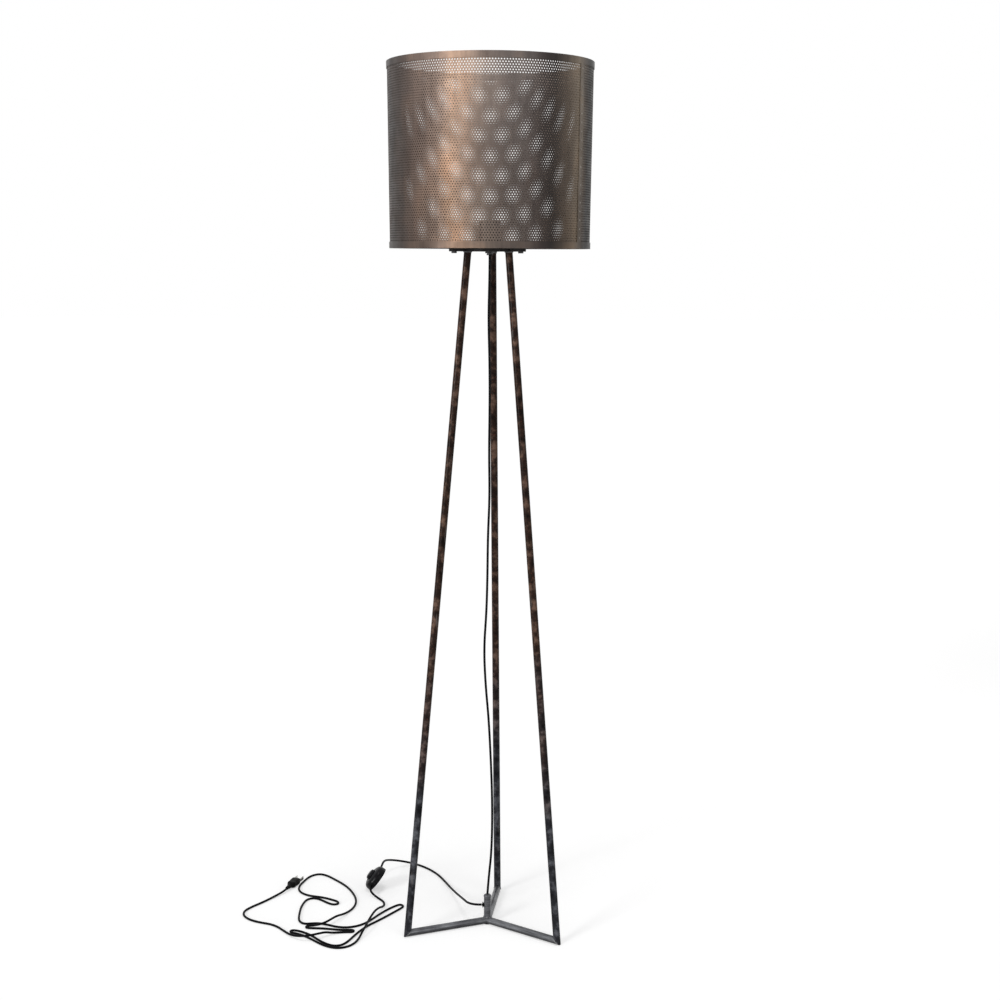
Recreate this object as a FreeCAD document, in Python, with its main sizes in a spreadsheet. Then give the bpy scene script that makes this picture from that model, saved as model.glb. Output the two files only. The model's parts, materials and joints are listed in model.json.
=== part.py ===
"""Floor lamp: a perforated drum shade on three leaning tubes.

Millimetres, +Z up.  The origin is on the floor, on the axis of the shade and of the short
middle post.  +X is to the right and +Y away from someone who faces the lamp.
"""
import FreeCAD, Part, Sketcher
import math
import os
import re

doc = FreeCAD.newDocument("floor_lamp")
Vector = FreeCAD.Vector

# ---------------------------------------------------------------- driving dimensions
SIZES = {
    # welded frame
    "tube_diameter": 13.0,
    "tube_wall": 1.5,
    "leg_azimuth": 83.3,
    "foot_radius": 157.0,
    "leg_top_radius": 41.5,
    "weld_radius": 1.4,
    "post_height": 52.0,
    "post_hole_height": 36.0,
    "post_hole_radius": 4.0,
    "cap_rise": 5.0,
    "cap_brim": 0.7,
    "cap_skirt": 3.0,
    "grommet_flange": 1.4,
    "grommet_rim": 1.3,
    # plate on the legs, and its bolts
    "plate_thickness": 5.0,
    "plate_disc_radius": 50.0,
    "plate_tip_radius": 76.0,
    "plate_arm_width": 18.0,
    "bolt_diameter": 5.0,
    "bolt_hole_clearance": 0.25,
    "bolt_head_height": 3.0,
    "bolt_head_radius": 4.6,
    "bolt_tail": 1.6,
    "washer_radius": 5.5,
    "washer_thickness": 1.0,
    "bolt_nut_height": 4.0,
    # shade
    "shade_bottom": 1237.0,
    "shade_height": 316.0,
    "shade_top_radius": 178.0,
    "shade_taper": 4.0,
    "sheet_thickness": 1.0,
    "band_height": 11.0,
    "band_thickness": 1.2,
    "seam_azimuth": -30.0,
    "seam_width": 13.0,
    "seam_rivet_count": 20,
    "seam_rivet_radius": 1.6,
    "seam_rivet_height": 0.9,
    "spider_thickness": 3.0,
    "spider_arm_width": 20.0,
    "spider_disc_radius": 32.0,
    # threaded stem and lampholder
    "stem_radius": 5.0,
    "stem_wall": 1.4,
    "stem_hole_clearance": 0.25,
    "stem_tail": 5.0,
    "stem_nut_height": 3.0,
    "stem_nut_radius": 8.0,
    "bushing_height": 2.5,
    "holder_cap_height": 14.0,
    "holder_cap_neck_radius": 12.0,
    "holder_radius": 20.0,
    "holder_wall": 0.9,
    "holder_lap": 6.0,
    "holder_shell_height": 35.0,
    "holder_gap": 0.2,
    "liner_wall": 0.8,
    "block_radius": 15.5,
    "block_height": 9.0,
    "block_lift": 8.0,
    "thread_radius": 13.2,
    "thread_wall": 0.5,
    "thread_height": 20.0,
    "contact_radius": 4.0,
    "contact_height": 2.5,
    "terminal_radius": 2.6,
    "terminal_head": 1.2,
    # cord, foot switch and plug
    "cord_diameter": 4.2,
    "cord_clearance": 0.05,
    "cord_gap": 0.3,
    "post_cord_reach": 11.0,
    "switch_x": -215.0,
    "switch_y": 163.0,
    "switch_z": 19.8,
    "switch_lean": 51.5,
    "switch_radius": 25.0,
    "switch_base_thickness": 3.0,
    "switch_height": 16.0,
    "switch_shoulder": 9.0,
    "switch_wall": 2.0,
    "switch_cord_height": 5.5,
    "switch_cord_angle": 65.0,
    "button_radius": 10.4,
    "button_gap": 0.3,
    "button_rise": 6.0,
    "button_crown": 2.5,
    "button_flange": 1.6,
    "button_flange_reach": 2.4,
    "button_travel": 3.0,
    "button_wall": 2.0,
    "block_disc_radius": 15.0,
    "block_disc_height": 3.0,
    "spring_radius": 5.6,
    "spring_wire": 0.9,
    "spring_turns": 4,
    "switch_screw_radius": 1.5,
    "switch_screw_head_radius": 2.8,
    "switch_screw_head": 1.4,
    "switch_screw_circle": 11.5,
    "plug_x": -391.0,
    "plug_y": 151.0,
    "plug_heading": 72.0,
    "plug_length": 28.0,
    "plug_width": 17.0,
    "plug_height": 12.5,
    "plug_round": 3.0,
    "relief_length": 16.0,
    "relief_radius": 4.8,
    "relief_tip_wall": 1.2,
    "blade_length": 17.5,
    "blade_root": 8.0,
    "blade_width": 6.4,
    "blade_thickness": 1.5,
    "blade_spacing": 12.7,
}

sheet = doc.addObject("Spreadsheet::Sheet", "sizes")
for row, (alias, value) in enumerate(SIZES.items(), start=1):
    sheet.set(f"A{row}", alias)
    sheet.set(f"B{row}", str(value))
    sheet.setAlias(f"B{row}", alias)
doc.recompute()


def size(alias):
    """The number that the sheet holds under a name."""
    return float(sheet.get(alias))


def worked_out(formula):
    """The number that a formula of the sheet's sizes gives now."""
    sheet.set("D1", f"={formula}")
    sheet.recompute()
    return float(sheet.get("D1"))


def in_sheet(formula):
    """A formula whose words with an underscore are read from the sheet."""
    return re.sub(r"[a-z]+(?:_[a-z]+)+", lambda word: "sizes." + word.group(), str(formula))


def bind(item, **formulas):
    """Tie properties of an object to formulas of the sheet's sizes."""
    for name, formula in formulas.items():
        item.setExpression(name, in_sheet(formula))


def place(item, x="0", y="0", z="0", axis=None, angle=None):
    """Tie an object's place, and its turn about one axis, to the sheet."""
    if axis is not None:
        item.Placement.Rotation = FreeCAD.Rotation(Vector(*axis), 10)
        item.setExpression("Placement.Rotation.Angle", in_sheet(f"({angle}) * 1 deg"))
    for name, formula in zip("xyz", (x, y, z)):
        item.setExpression(f"Placement.Base.{name}", in_sheet(formula))
    return item


NODES = []


def node(item, label):
    """Name a finished sub-part."""
    item.Label = label
    NODES.append(item)
    return item


# ---------------------------------------------------------------- building blocks
def cylinder(name, radius, height, **where):
    item = doc.addObject("Part::Cylinder", name)
    bind(item, Radius=radius, Height=height)
    return place(item, **where)


def box(name, length, width, height, **where):
    item = doc.addObject("Part::Box", name)
    bind(item, Length=length, Width=width, Height=height)
    return place(item, **where)


def hexagon(name, radius, height, **where):
    item = doc.addObject("Part::Prism", name)
    item.Polygon = 6
    bind(item, Circumradius=radius, Height=height)
    return place(item, **where)


def fused(name, items):
    item = doc.addObject("Part::MultiFuse", name)
    item.Shapes = items
    item.Refine = True
    return item


def cut(name, base, tools):
    item = doc.addObject("Part::Cut", name)
    item.Base = base
    item.Tool = tools[0] if len(tools) == 1 else fused(name + "_tools", tools)
    return item


def group(name, items):
    """Separate solids that share one node."""
    item = doc.addObject("Part::Compound", name)
    item.Links = items
    return item


def turned(name, points, **where):
    """A body turned about Z; its half profile is a closed list of (radius, height) formulas."""
    body = doc.addObject("PartDesign::Body", name)
    sketch = body.newObject("Sketcher::SketchObject", name + "_profile")
    plane = [item for item in body.Origin.OriginFeatures if item.Role == "XZ_Plane"][0]
    sketch.AttachmentSupport = [(plane, "")]
    sketch.MapMode = "FlatFace"
    values = [[worked_out(radius), worked_out(height)] for radius, height in points]
    count = len(points)
    for index in range(count):
        start = Vector(*values[index], 0)
        end = Vector(*values[(index + 1) % count], 0)
        sketch.addGeometry(Part.LineSegment(start, end), False)
    for index in range(count):
        following = (index + 1) % count
        sketch.addConstraint(Sketcher.Constraint("Coincident", index, 2, following, 1))
    for index, (radius, height) in enumerate(points):
        for kind, axis_line, formula in (("DistanceX", -2, radius), ("DistanceY", -1, height)):
            if str(formula) == "0":
                sketch.addConstraint(Sketcher.Constraint("PointOnObject", index, 1, axis_line))
                continue
            value = worked_out(formula)
            number = sketch.addConstraint(
                Sketcher.Constraint(kind, -1, 1, index, 1, value))
            sketch.setExpression(f"Constraints[{number}]", in_sheet(formula))
    turn = body.newObject("PartDesign::Revolution", name + "_turn")
    turn.Profile = sketch
    turn.ReferenceAxis = (sketch, ["V_Axis"])
    turn.Angle = 360
    body.Tip = turn
    return place(body, **where)


def hollow(inner, outer, low, high):
    """The half profile of a plain ring or sleeve."""
    return [(inner, low), (outer, low), (outer, high), (inner, high)]


def sleeve(name, inner, outer, low, high, **where):
    """A plain ring or sleeve turned about Z."""
    return turned(name, hollow(inner, outer, low, high), **where)


def around(radius, azimuth):
    """The x and y formulas of a point on a circle about the lamp's axis."""
    return {"x": f"({radius}) * cos(({azimuth}) * 1 deg)",
            "y": f"({radius}) * sin(({azimuth}) * 1 deg)"}


LEGS = {"back": "leg_azimuth", "left": "leg_azimuth + 120", "right": "leg_azimuth + 240"}

TUBE_RADIUS = "tube_diameter / 2"
BORE_RADIUS = "(tube_diameter / 2 - tube_wall)"
PLATE_TOP = "shade_bottom"
PLATE_UNDERSIDE = "(shade_bottom - plate_thickness)"
LEG_RISE = f"({PLATE_UNDERSIDE} - tube_diameter / 2)"
LEG_TILT = f"(atan((foot_radius - leg_top_radius) / {LEG_RISE}) / 1 deg)"
LEG_LENGTH = f"sqrt((foot_radius - leg_top_radius) ^ 2 + {LEG_RISE} ^ 2)"
CUTTER = "tube_diameter * 3"


# ---------------------------------------------------------------- legs and base bars
def make_leg(side, azimuth):
    """A straight tube, mitred at the foot and cut level under the plate."""
    foot = {"x": "foot_radius", "z": TUBE_RADIUS}
    lean = {"axis": (0, 1, 0), "angle": f"-{LEG_TILT}"}
    start = {"x": f"foot_radius + tube_diameter * sin({LEG_TILT} * 1 deg)",
             "z": f"{TUBE_RADIUS} - tube_diameter * cos({LEG_TILT} * 1 deg)"}
    length = f"{LEG_LENGTH} + 2 * tube_diameter"
    outside = cylinder(f"leg_{side}_outside", TUBE_RADIUS, length, **start, **lean)
    bore = cylinder(f"leg_{side}_bore", BORE_RADIUS, length, **start, **lean)
    mitre = cylinder(f"leg_{side}_mitre", CUTTER, CUTTER, **foot,
                     axis=(0, 1, 0), angle=f"-135 - {LEG_TILT} / 2")
    level = cylinder(f"leg_{side}_level", CUTTER, CUTTER, x="leg_top_radius", z=PLATE_UNDERSIDE)
    leg = cut(f"leg_{side}_cut", outside, [bore, mitre, level])
    return node(place(leg, axis=(0, 0, 1), angle=azimuth), f"leg_{side}")


def make_base_bar(side, azimuth):
    """A tube along the floor, mitred at the foot and coped to the middle post."""
    inward = {"axis": (0, 1, 0), "angle": "-90"}
    start = {"x": "foot_radius + tube_diameter", "z": TUBE_RADIUS}
    length = "foot_radius + tube_diameter"
    outside = cylinder(f"bar_{side}_outside", TUBE_RADIUS, length, **start, **inward)
    bore = cylinder(f"bar_{side}_bore", BORE_RADIUS, length, **start, **inward)
    mitre = cylinder(f"bar_{side}_mitre", CUTTER, CUTTER, x="foot_radius", z=TUBE_RADIUS,
                     axis=(0, 1, 0), angle=f"45 - {LEG_TILT} / 2")
    cope = cylinder(f"bar_{side}_cope", TUBE_RADIUS, CUTTER)
    bar = cut(f"bar_{side}_cut", outside, [bore, mitre, cope])
    return node(place(bar, axis=(0, 0, 1), angle=azimuth), f"base_bar_{side}")


for side, azimuth in LEGS.items():
    make_leg(side, azimuth)
    make_base_bar(side, azimuth)

post_outside = cylinder("post_outside", TUBE_RADIUS, "post_height")
post_bore = cylinder("post_bore", BORE_RADIUS, "post_height")
post_hole = cylinder("post_hole", "post_hole_radius", "tube_diameter", z="post_hole_height",
                     axis=(0, 1, 0), angle="-90")
node(cut("post_cut", post_outside, [post_bore, post_hole]), "hub_post")

CORD_HOLE = "cord_diameter / 2 + cord_clearance"
node(turned("cap_body", [
    (CORD_HOLE, "0"), (f"{BORE_RADIUS} - cord_clearance", "0"),
    (f"{BORE_RADIUS} - cord_clearance", "cap_skirt"), ("tube_diameter / 2 + cap_brim", "cap_skirt"),
    ("tube_diameter / 2 + cap_brim", "cap_skirt + cap_rise * 0.35"),
    ("tube_diameter / 2 - cap_brim", "cap_skirt + cap_rise * 0.8"),
    ("cord_diameter / 2 + cap_brim * 2", "cap_skirt + cap_rise"),
    (CORD_HOLE, "cap_skirt + cap_rise")], z="post_height - cap_skirt"), "post_cap")

node(turned("grommet_body", [
    (CORD_HOLE, "0"), ("post_hole_radius - cord_clearance", "0"),
    ("post_hole_radius - cord_clearance", "tube_wall + grommet_flange"),
    ("post_hole_radius + grommet_rim", "tube_wall + grommet_flange"),
    ("post_hole_radius + grommet_rim", "tube_wall + grommet_flange * 2"),
    (CORD_HOLE, "tube_wall + grommet_flange * 2")],
    x=f"-{BORE_RADIUS}", z="post_hole_height", axis=(0, 1, 0), angle="-90"), "post_grommet")


# ---------------------------------------------------------------- weld beads
def bead(name, major, **where):
    """A round weld bead as a ring."""
    item = doc.addObject("Part::Torus", name)
    bind(item, Radius1=major, Radius2="weld_radius")
    return place(item, **where)


def bead_on_each_leg(name, radius, height):
    """A level bead round each of the three tubes where it meets a flat."""
    return [bead(f"{name}_{side}", TUBE_RADIUS, **around(radius, azimuth), z=height)
            for side, azimuth in LEGS.items()]


def foot_bead(side, azimuth):
    """A bead on the outer face of the mitre between a leg and its bar."""
    ring = bead(f"foot_bead_{side}", TUBE_RADIUS, x="foot_radius", z=TUBE_RADIUS,
                axis=(0, 1, 0), angle=f"45 - {LEG_TILT} / 2")
    turn = doc.addObject("Part::Compound", f"foot_bead_turn_{side}")
    turn.Links = [ring]
    return place(turn, axis=(0, 0, 1), angle=azimuth)


node(group("foot_beads", [foot_bead(side, azimuth) for side, azimuth in LEGS.items()]), "foot_welds")
node(group("leg_top_beads", bead_on_each_leg("top_bead", "leg_top_radius", PLATE_UNDERSIDE)),
     "leg_top_welds")
node(group("hub_beads", [bead("hub_bead", TUBE_RADIUS, z="tube_diameter")]), "hub_weld")


# ---------------------------------------------------------------- plate on the legs
def arm(name, length, width, thickness, height, azimuth, ends=()):
    """A flat arm out from the axis."""
    bar = box(name + "_bar", length, width, thickness, y=f"-({width}) / 2")
    whole = fused(name, [bar, *ends]) if ends else group(name, [bar])
    return place(whole, z=height, axis=(0, 0, 1), angle=azimuth)


# each bolt stands on the centre of an arm's round end
BOLT_CIRCLE = "(plate_tip_radius - plate_arm_width / 2)"


def plate_arm(side, azimuth):
    end = cylinder(f"plate_end_{side}", "plate_arm_width / 2", "plate_thickness", x=BOLT_CIRCLE)
    return arm(f"plate_arm_{side}", BOLT_CIRCLE, "plate_arm_width", "plate_thickness",
               PLATE_UNDERSIDE, azimuth, ends=[end])


def bolt_holes(name, low, depth):
    return [cylinder(f"{name}_{side}", "bolt_diameter / 2 + bolt_hole_clearance", depth,
                     **around(BOLT_CIRCLE, azimuth), z=low)
            for side, azimuth in LEGS.items()]


STEM_HOLE = "stem_radius + stem_hole_clearance"
plate_disc = cylinder("plate_disc", "plate_disc_radius", "plate_thickness", z=PLATE_UNDERSIDE)
plate_blank = fused("plate_blank", [plate_disc] + [plate_arm(*leg) for leg in LEGS.items()])
plate_stem_hole = cylinder("plate_stem_hole", STEM_HOLE, "plate_thickness", z=PLATE_UNDERSIDE)
node(cut("plate_cut", plate_blank, [plate_stem_hole]
         + bolt_holes("plate_hole", PLATE_UNDERSIDE, "plate_thickness")), "top_plate")

# ---------------------------------------------------------------- shade
SHADE_BOTTOM_RADIUS = "(shade_top_radius - shade_taper)"
TAPER = "(shade_taper / shade_height)"
TOP_AT_BAND = f"(shade_top_radius - {TAPER} * band_height)"
BOTTOM_AT_BAND = f"({SHADE_BOTTOM_RADIUS} + {TAPER} * band_height)"
UPPER_BAND = "(shade_height - band_height)"

node(turned("skin_body", [
    (f"{SHADE_BOTTOM_RADIUS} - sheet_thickness", "0"), (SHADE_BOTTOM_RADIUS, "0"),
    ("shade_top_radius", "shade_height"), ("shade_top_radius - sheet_thickness", "shade_height")],
    z="shade_bottom"), "shade_skin")
node(turned("bottom_band_body", [
    (SHADE_BOTTOM_RADIUS, "0"), (f"{SHADE_BOTTOM_RADIUS} + band_thickness", "0"),
    (f"{BOTTOM_AT_BAND} + band_thickness", "band_height"), (BOTTOM_AT_BAND, "band_height")],
    z="shade_bottom"), "shade_bottom_band")
node(turned("top_band_body", [
    (TOP_AT_BAND, UPPER_BAND), (f"{TOP_AT_BAND} + band_thickness", UPPER_BAND),
    ("shade_top_radius + band_thickness", "shade_height"), ("shade_top_radius", "shade_height")],
    z="shade_bottom"), "shade_top_band")

seam_ring = turned("seam_ring", [
    (BOTTOM_AT_BAND, "band_height"), (f"{BOTTOM_AT_BAND} + sheet_thickness", "band_height"),
    (f"{TOP_AT_BAND} + sheet_thickness", UPPER_BAND), (TOP_AT_BAND, UPPER_BAND)],
    z="shade_bottom")
seam_block = box("seam_block", "shade_top_radius * 2", "seam_width", "shade_height",
                 x="seam_width / 2 * sin(seam_azimuth * 1 deg)",
                 y="-seam_width / 2 * cos(seam_azimuth * 1 deg)",
                 z="shade_bottom", axis=(0, 0, 1), angle="seam_azimuth")
seam = doc.addObject("Part::Common", "seam_common")
seam.Base = seam_ring
seam.Tool = seam_block
node(seam, "shade_seam_lap")


def seam_rivet(index):
    """A low domed head on the lap, one of an even column."""
    share = f"({index} + 0.5) / seam_rivet_count"
    rise = f"(band_height + (shade_height - 2 * band_height) * {share})"
    radius = f"({SHADE_BOTTOM_RADIUS} + {TAPER} * {rise} + sheet_thickness)"
    head = doc.addObject("Part::Cone", f"seam_rivet_{index}")
    bind(head, Radius1="seam_rivet_radius", Radius2="seam_rivet_radius * 0.55",
         Height="seam_rivet_height")
    head.Placement.Rotation = FreeCAD.Rotation(Vector(0, 0, 1), size("seam_azimuth")).multiply(
        FreeCAD.Rotation(Vector(0, 1, 0), 90))
    return place(head, **around(radius, "seam_azimuth"), z=f"shade_bottom + {rise}")


node(group("rivets", [seam_rivet(index) for index in range(int(size("seam_rivet_count")))]),
     "seam_rivets")

spider_disc = cylinder("spider_disc", "spider_disc_radius", "spider_thickness", z=PLATE_TOP)
spider_arms = [arm(f"spider_arm_{side}", SHADE_BOTTOM_RADIUS, "spider_arm_width",
                   "spider_thickness", PLATE_TOP, azimuth) for side, azimuth in LEGS.items()]
spider_blank = fused("spider_blank", [spider_disc] + spider_arms)
spider_limit = cylinder("spider_limit", f"{SHADE_BOTTOM_RADIUS} - sheet_thickness",
                        "spider_thickness", z=PLATE_TOP)
spider_round = doc.addObject("Part::Common", "spider_round")
spider_round.Base = spider_blank
spider_round.Tool = spider_limit
spider_stem_hole = cylinder("spider_stem_hole", STEM_HOLE, "spider_thickness", z=PLATE_TOP)
node(cut("spider_cut", spider_round, [spider_stem_hole]
         + bolt_holes("spider_hole", PLATE_TOP, "spider_thickness")), "shade_spider")

# ---------------------------------------------------------------- bolts, washers and nuts
WASHER_TOP = "(shade_bottom + spider_thickness + washer_thickness)"
BOLT_LENGTH = f"({WASHER_TOP} + bolt_nut_height + bolt_tail - {PLATE_UNDERSIDE})"


def plate_bolt(side, azimuth):
    spot = around(BOLT_CIRCLE, azimuth)
    head = hexagon(f"bolt_head_{side}", "bolt_head_radius", "bolt_head_height", **spot,
                   z=f"{PLATE_UNDERSIDE} - bolt_head_height")
    shank = cylinder(f"bolt_shank_{side}", "bolt_diameter / 2", BOLT_LENGTH, **spot,
                     z=PLATE_UNDERSIDE)
    return fused(f"bolt_{side}", [head, shank])


def plate_washer(side, azimuth):
    return sleeve(f"washer_{side}", "bolt_diameter / 2 + cord_clearance", "washer_radius",
                  "0", "washer_thickness", **around(BOLT_CIRCLE, azimuth),
                  z="shade_bottom + spider_thickness")


def plate_nut(side, azimuth):
    spot = around(BOLT_CIRCLE, azimuth)
    blank = hexagon(f"nut_blank_{side}", "bolt_head_radius", "bolt_nut_height", **spot,
                    z=WASHER_TOP)
    bore = cylinder(f"nut_bore_{side}", "bolt_diameter / 2 + cord_clearance", "bolt_nut_height",
                    **spot, z=WASHER_TOP)
    return cut(f"nut_{side}", blank, [bore])


node(group("bolts", [plate_bolt(*leg) for leg in LEGS.items()]), "plate_bolts")
node(group("washers", [plate_washer(*leg) for leg in LEGS.items()]), "plate_washers")
node(group("nuts", [plate_nut(*leg) for leg in LEGS.items()]), "plate_nuts")

# ---------------------------------------------------------------- stem and lampholder
STEM_BORE = "(stem_radius - stem_wall)"
STEM_BOTTOM = f"({PLATE_UNDERSIDE} - stem_tail)"
SPIDER_TOP = "(shade_bottom + spider_thickness)"
HOLDER_BASE = f"({SPIDER_TOP} + stem_nut_height)"
STEM_LENGTH = f"({HOLDER_BASE} + block_lift - cord_clearance * 4 - {STEM_BOTTOM})"

node(sleeve("stem_body", STEM_BORE, "stem_radius", "0", STEM_LENGTH, z=STEM_BOTTOM),
     "threaded_stem")


def stem_nut(name, height):
    blank = hexagon(name + "_blank", "stem_nut_radius", "stem_nut_height", z=height)
    bore = cylinder(name + "_bore", "stem_radius + cord_clearance", "stem_nut_height", z=height)
    return node(cut(name + "_cut", blank, [bore]), name)


stem_nut("stem_nut_lower", f"{PLATE_UNDERSIDE} - stem_nut_height")
stem_nut("stem_nut_upper", SPIDER_TOP)
node(turned("bushing_body", [
    (CORD_HOLE, "0"), ("stem_radius + cap_brim", "0"),
    ("stem_radius + cap_brim", "bushing_height / 2"),
    (f"{STEM_BORE} - cord_clearance", "bushing_height / 2"),
    (f"{STEM_BORE} - cord_clearance", "bushing_height * 2"), (CORD_HOLE, "bushing_height * 2")],
    z=f"{STEM_BOTTOM} - bushing_height / 2"), "stem_bushing")

node(turned("holder_cap_body", [
    ("stem_radius + cord_clearance", "0"), ("holder_cap_neck_radius", "0"),
    ("holder_radius", "holder_cap_height * 0.55"), ("holder_radius", "holder_cap_height"),
    ("holder_radius - holder_wall", "holder_cap_height"),
    ("holder_radius - holder_wall", "holder_cap_height * 0.55 + holder_wall / 2"),
    ("holder_cap_neck_radius - holder_wall / 2", "holder_wall"),
    ("stem_radius + cord_clearance", "holder_wall")], z=HOLDER_BASE), "lampholder_cap")

SHELL_OUTER = "(holder_radius - holder_wall - holder_gap)"
SHELL_LOW = "(holder_cap_height - holder_lap)"
SHELL_TOP = f"({SHELL_LOW} + holder_shell_height)"
node(turned("holder_shell_body", [
    (f"{SHELL_OUTER} - holder_wall", SHELL_LOW), (SHELL_OUTER, SHELL_LOW),
    (SHELL_OUTER, f"{SHELL_TOP} - holder_wall * 2"),
    (f"{SHELL_OUTER} + holder_wall", f"{SHELL_TOP} - holder_wall"),
    (f"{SHELL_OUTER} + holder_wall", SHELL_TOP), (f"{SHELL_OUTER} - holder_wall", SHELL_TOP)],
    z=HOLDER_BASE), "lampholder_shell")
LINER_OUTER = f"({SHELL_OUTER} - holder_wall - holder_gap)"
node(sleeve("liner_body", f"{LINER_OUTER} - liner_wall", LINER_OUTER, SHELL_LOW,
            f"{SHELL_TOP} - holder_wall", z=HOLDER_BASE), "lampholder_liner")

BLOCK_TOP = f"({HOLDER_BASE} + block_lift + block_height)"
CONTACT_SEAT = f"({BLOCK_TOP} - contact_height)"
block = cylinder("block_blank", "block_radius", "block_height", z=f"{HOLDER_BASE} + block_lift")
recess = cylinder("block_recess", "contact_radius + cord_clearance", "contact_height",
                  z=CONTACT_SEAT)
node(cut("block_cut", block, [recess]), "lampholder_block")
node(turned("thread_body", [
    ("contact_radius + thread_wall * 4", "0"), ("thread_radius + thread_wall", "0"),
    ("thread_radius + thread_wall", "thread_height"), ("thread_radius", "thread_height"),
    ("thread_radius", "thread_wall"), ("contact_radius + thread_wall * 4", "thread_wall")],
    z=BLOCK_TOP), "screw_shell")
node(turned("contact_body", [
    ("0", "0"), ("contact_radius", "0"), ("contact_radius", "contact_height * 0.4"),
    ("contact_radius * 0.5", "contact_height"), ("0", "contact_height")], z=CONTACT_SEAT),
    "centre_contact")


def terminal(name, side):
    """A screw head on the side of the insulating block."""
    return cylinder(name, "terminal_radius", "terminal_head", x=f"{side} * block_radius",
                    z=f"{HOLDER_BASE} + block_lift + block_height / 2",
                    axis=(0, 1, 0), angle=f"{side} * 90")


node(group("terminals", [terminal("terminal_live", 1), terminal("terminal_neutral", -1)]),
     "terminal_screws")

# ---------------------------------------------------------------- foot switch
# Its pieces are laid out about its own axis, which leans from the floor towards -X.
LEAN = {"axis": (0, 1, 0), "angle": "-switch_lean"}


def on_switch(item):
    """Set a piece of the switch, made about Z, on the switch's own leaning axis."""
    seat = doc.addObject("Part::Compound", item.Name + "_seat")
    seat.Links = [item]
    return place(seat, x="switch_x", y="switch_y", z="switch_z", **LEAN)


def screw_spots(name, radius, low, depth):
    return [cylinder(f"{name}_{sign}", radius, depth, y=f"{2 * sign - 1} * switch_screw_circle",
                     z=low) for sign in range(2)]


INSIDE = "switch_radius - switch_wall"
CEILING = "(switch_height - switch_wall)"
base_disc = cylinder("switch_base_disc", "switch_radius", "switch_base_thickness")
base = cut("switch_base_cut", base_disc,
           screw_spots("base_hole", "switch_screw_radius + cord_clearance", "0",
                       "switch_base_thickness")
           + screw_spots("base_counterbore", "switch_screw_head_radius + cord_clearance", "0",
                         "switch_screw_head"))
node(on_switch(base), "switch_base")

cover_body = turned("switch_cover_body", [
    (INSIDE, "switch_base_thickness"), ("switch_radius", "switch_base_thickness"),
    ("switch_radius", "switch_height - switch_shoulder"),
    ("switch_radius - switch_shoulder * 0.3", "switch_height - switch_shoulder * 0.3"),
    ("switch_radius - switch_shoulder", "switch_height"),
    ("button_radius + button_gap", "switch_height"), ("button_radius + button_gap", CEILING),
    (f"{INSIDE} - switch_shoulder + switch_wall", CEILING),
    (INSIDE, f"{CEILING} - switch_shoulder + switch_wall")])


def cord_way(name, side):
    """The hole in the cover's wall where a cord goes in."""
    return cylinder(name, CORD_HOLE, "switch_radius + tube_diameter",
                    z="switch_cord_height", axis=(-1, 0, 0) if side > 0 else (1, 0, 0), angle="90")


cover_ways = fused("cover_ways", [cord_way("cover_way_in", 1), cord_way("cover_way_out", -1)])
place(cover_ways, axis=(0, 0, 1), angle="switch_cord_angle - 90")
node(on_switch(cut("switch_cover_cut", cover_body, [cover_ways])), "switch_cover")

FLANGE_TOP = f"({CEILING} - button_gap)"
FLANGE_LOW = f"({FLANGE_TOP} - button_flange)"
BUTTON_TOP = "(switch_height + button_rise)"
node(on_switch(turned("button_body", [
    ("button_radius - button_wall", FLANGE_LOW),
    ("button_radius + button_flange_reach", FLANGE_LOW),
    ("button_radius + button_flange_reach", FLANGE_TOP), ("button_radius", FLANGE_TOP),
    ("button_radius", f"{BUTTON_TOP} - button_crown"),
    ("button_radius * 0.85", f"{BUTTON_TOP} - button_crown * 0.45"),
    ("button_radius * 0.5", f"{BUTTON_TOP} - button_crown * 0.1"), ("0", BUTTON_TOP),
    ("0", f"{BUTTON_TOP} - button_crown - button_wall"),
    ("button_radius - button_wall", f"{BUTTON_TOP} - button_crown - button_wall")])),
    "switch_button")

node(on_switch(cylinder("mechanism_disc", "block_disc_radius", "block_disc_height",
                        z="switch_base_thickness")), "switch_mechanism")
node(on_switch(group("switch_screw_parts", [
    fused(f"switch_screw_{index}", list(pair)) for index, pair in enumerate(zip(
        screw_spots("screw_shank", "switch_screw_radius", "0", "switch_base_thickness"),
        screw_spots("screw_head", "switch_screw_head_radius", "0", "switch_screw_head")))])),
    "switch_screws")

SPRING_LOW = "switch_base_thickness + block_disc_height + spring_wire"
SPRING_TOP = f"({BUTTON_TOP} - button_crown - button_wall - spring_wire)"


def make_spring():
    """An open coil between the mechanism and the inside of the button."""
    low = worked_out(SPRING_LOW)
    height = worked_out(f"{SPRING_TOP} - ({SPRING_LOW})")
    radius = size("spring_radius")
    wire = size("spring_wire") / 2
    coil = Part.makeLongHelix(height / size("spring_turns"), height, radius, 0)
    section = Part.Wire(Part.makeCircle(wire, Vector(radius, 0, 0), Vector(0, 1, 0)))
    shape = Part.Wire(coil.Edges).makePipeShell([section], True, True)
    shape.translate(Vector(0, 0, low))
    item = doc.addObject("Part::Feature", "spring_coil")
    item.Shape = shape
    return item


node(on_switch(make_spring()), "switch_spring")

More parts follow.
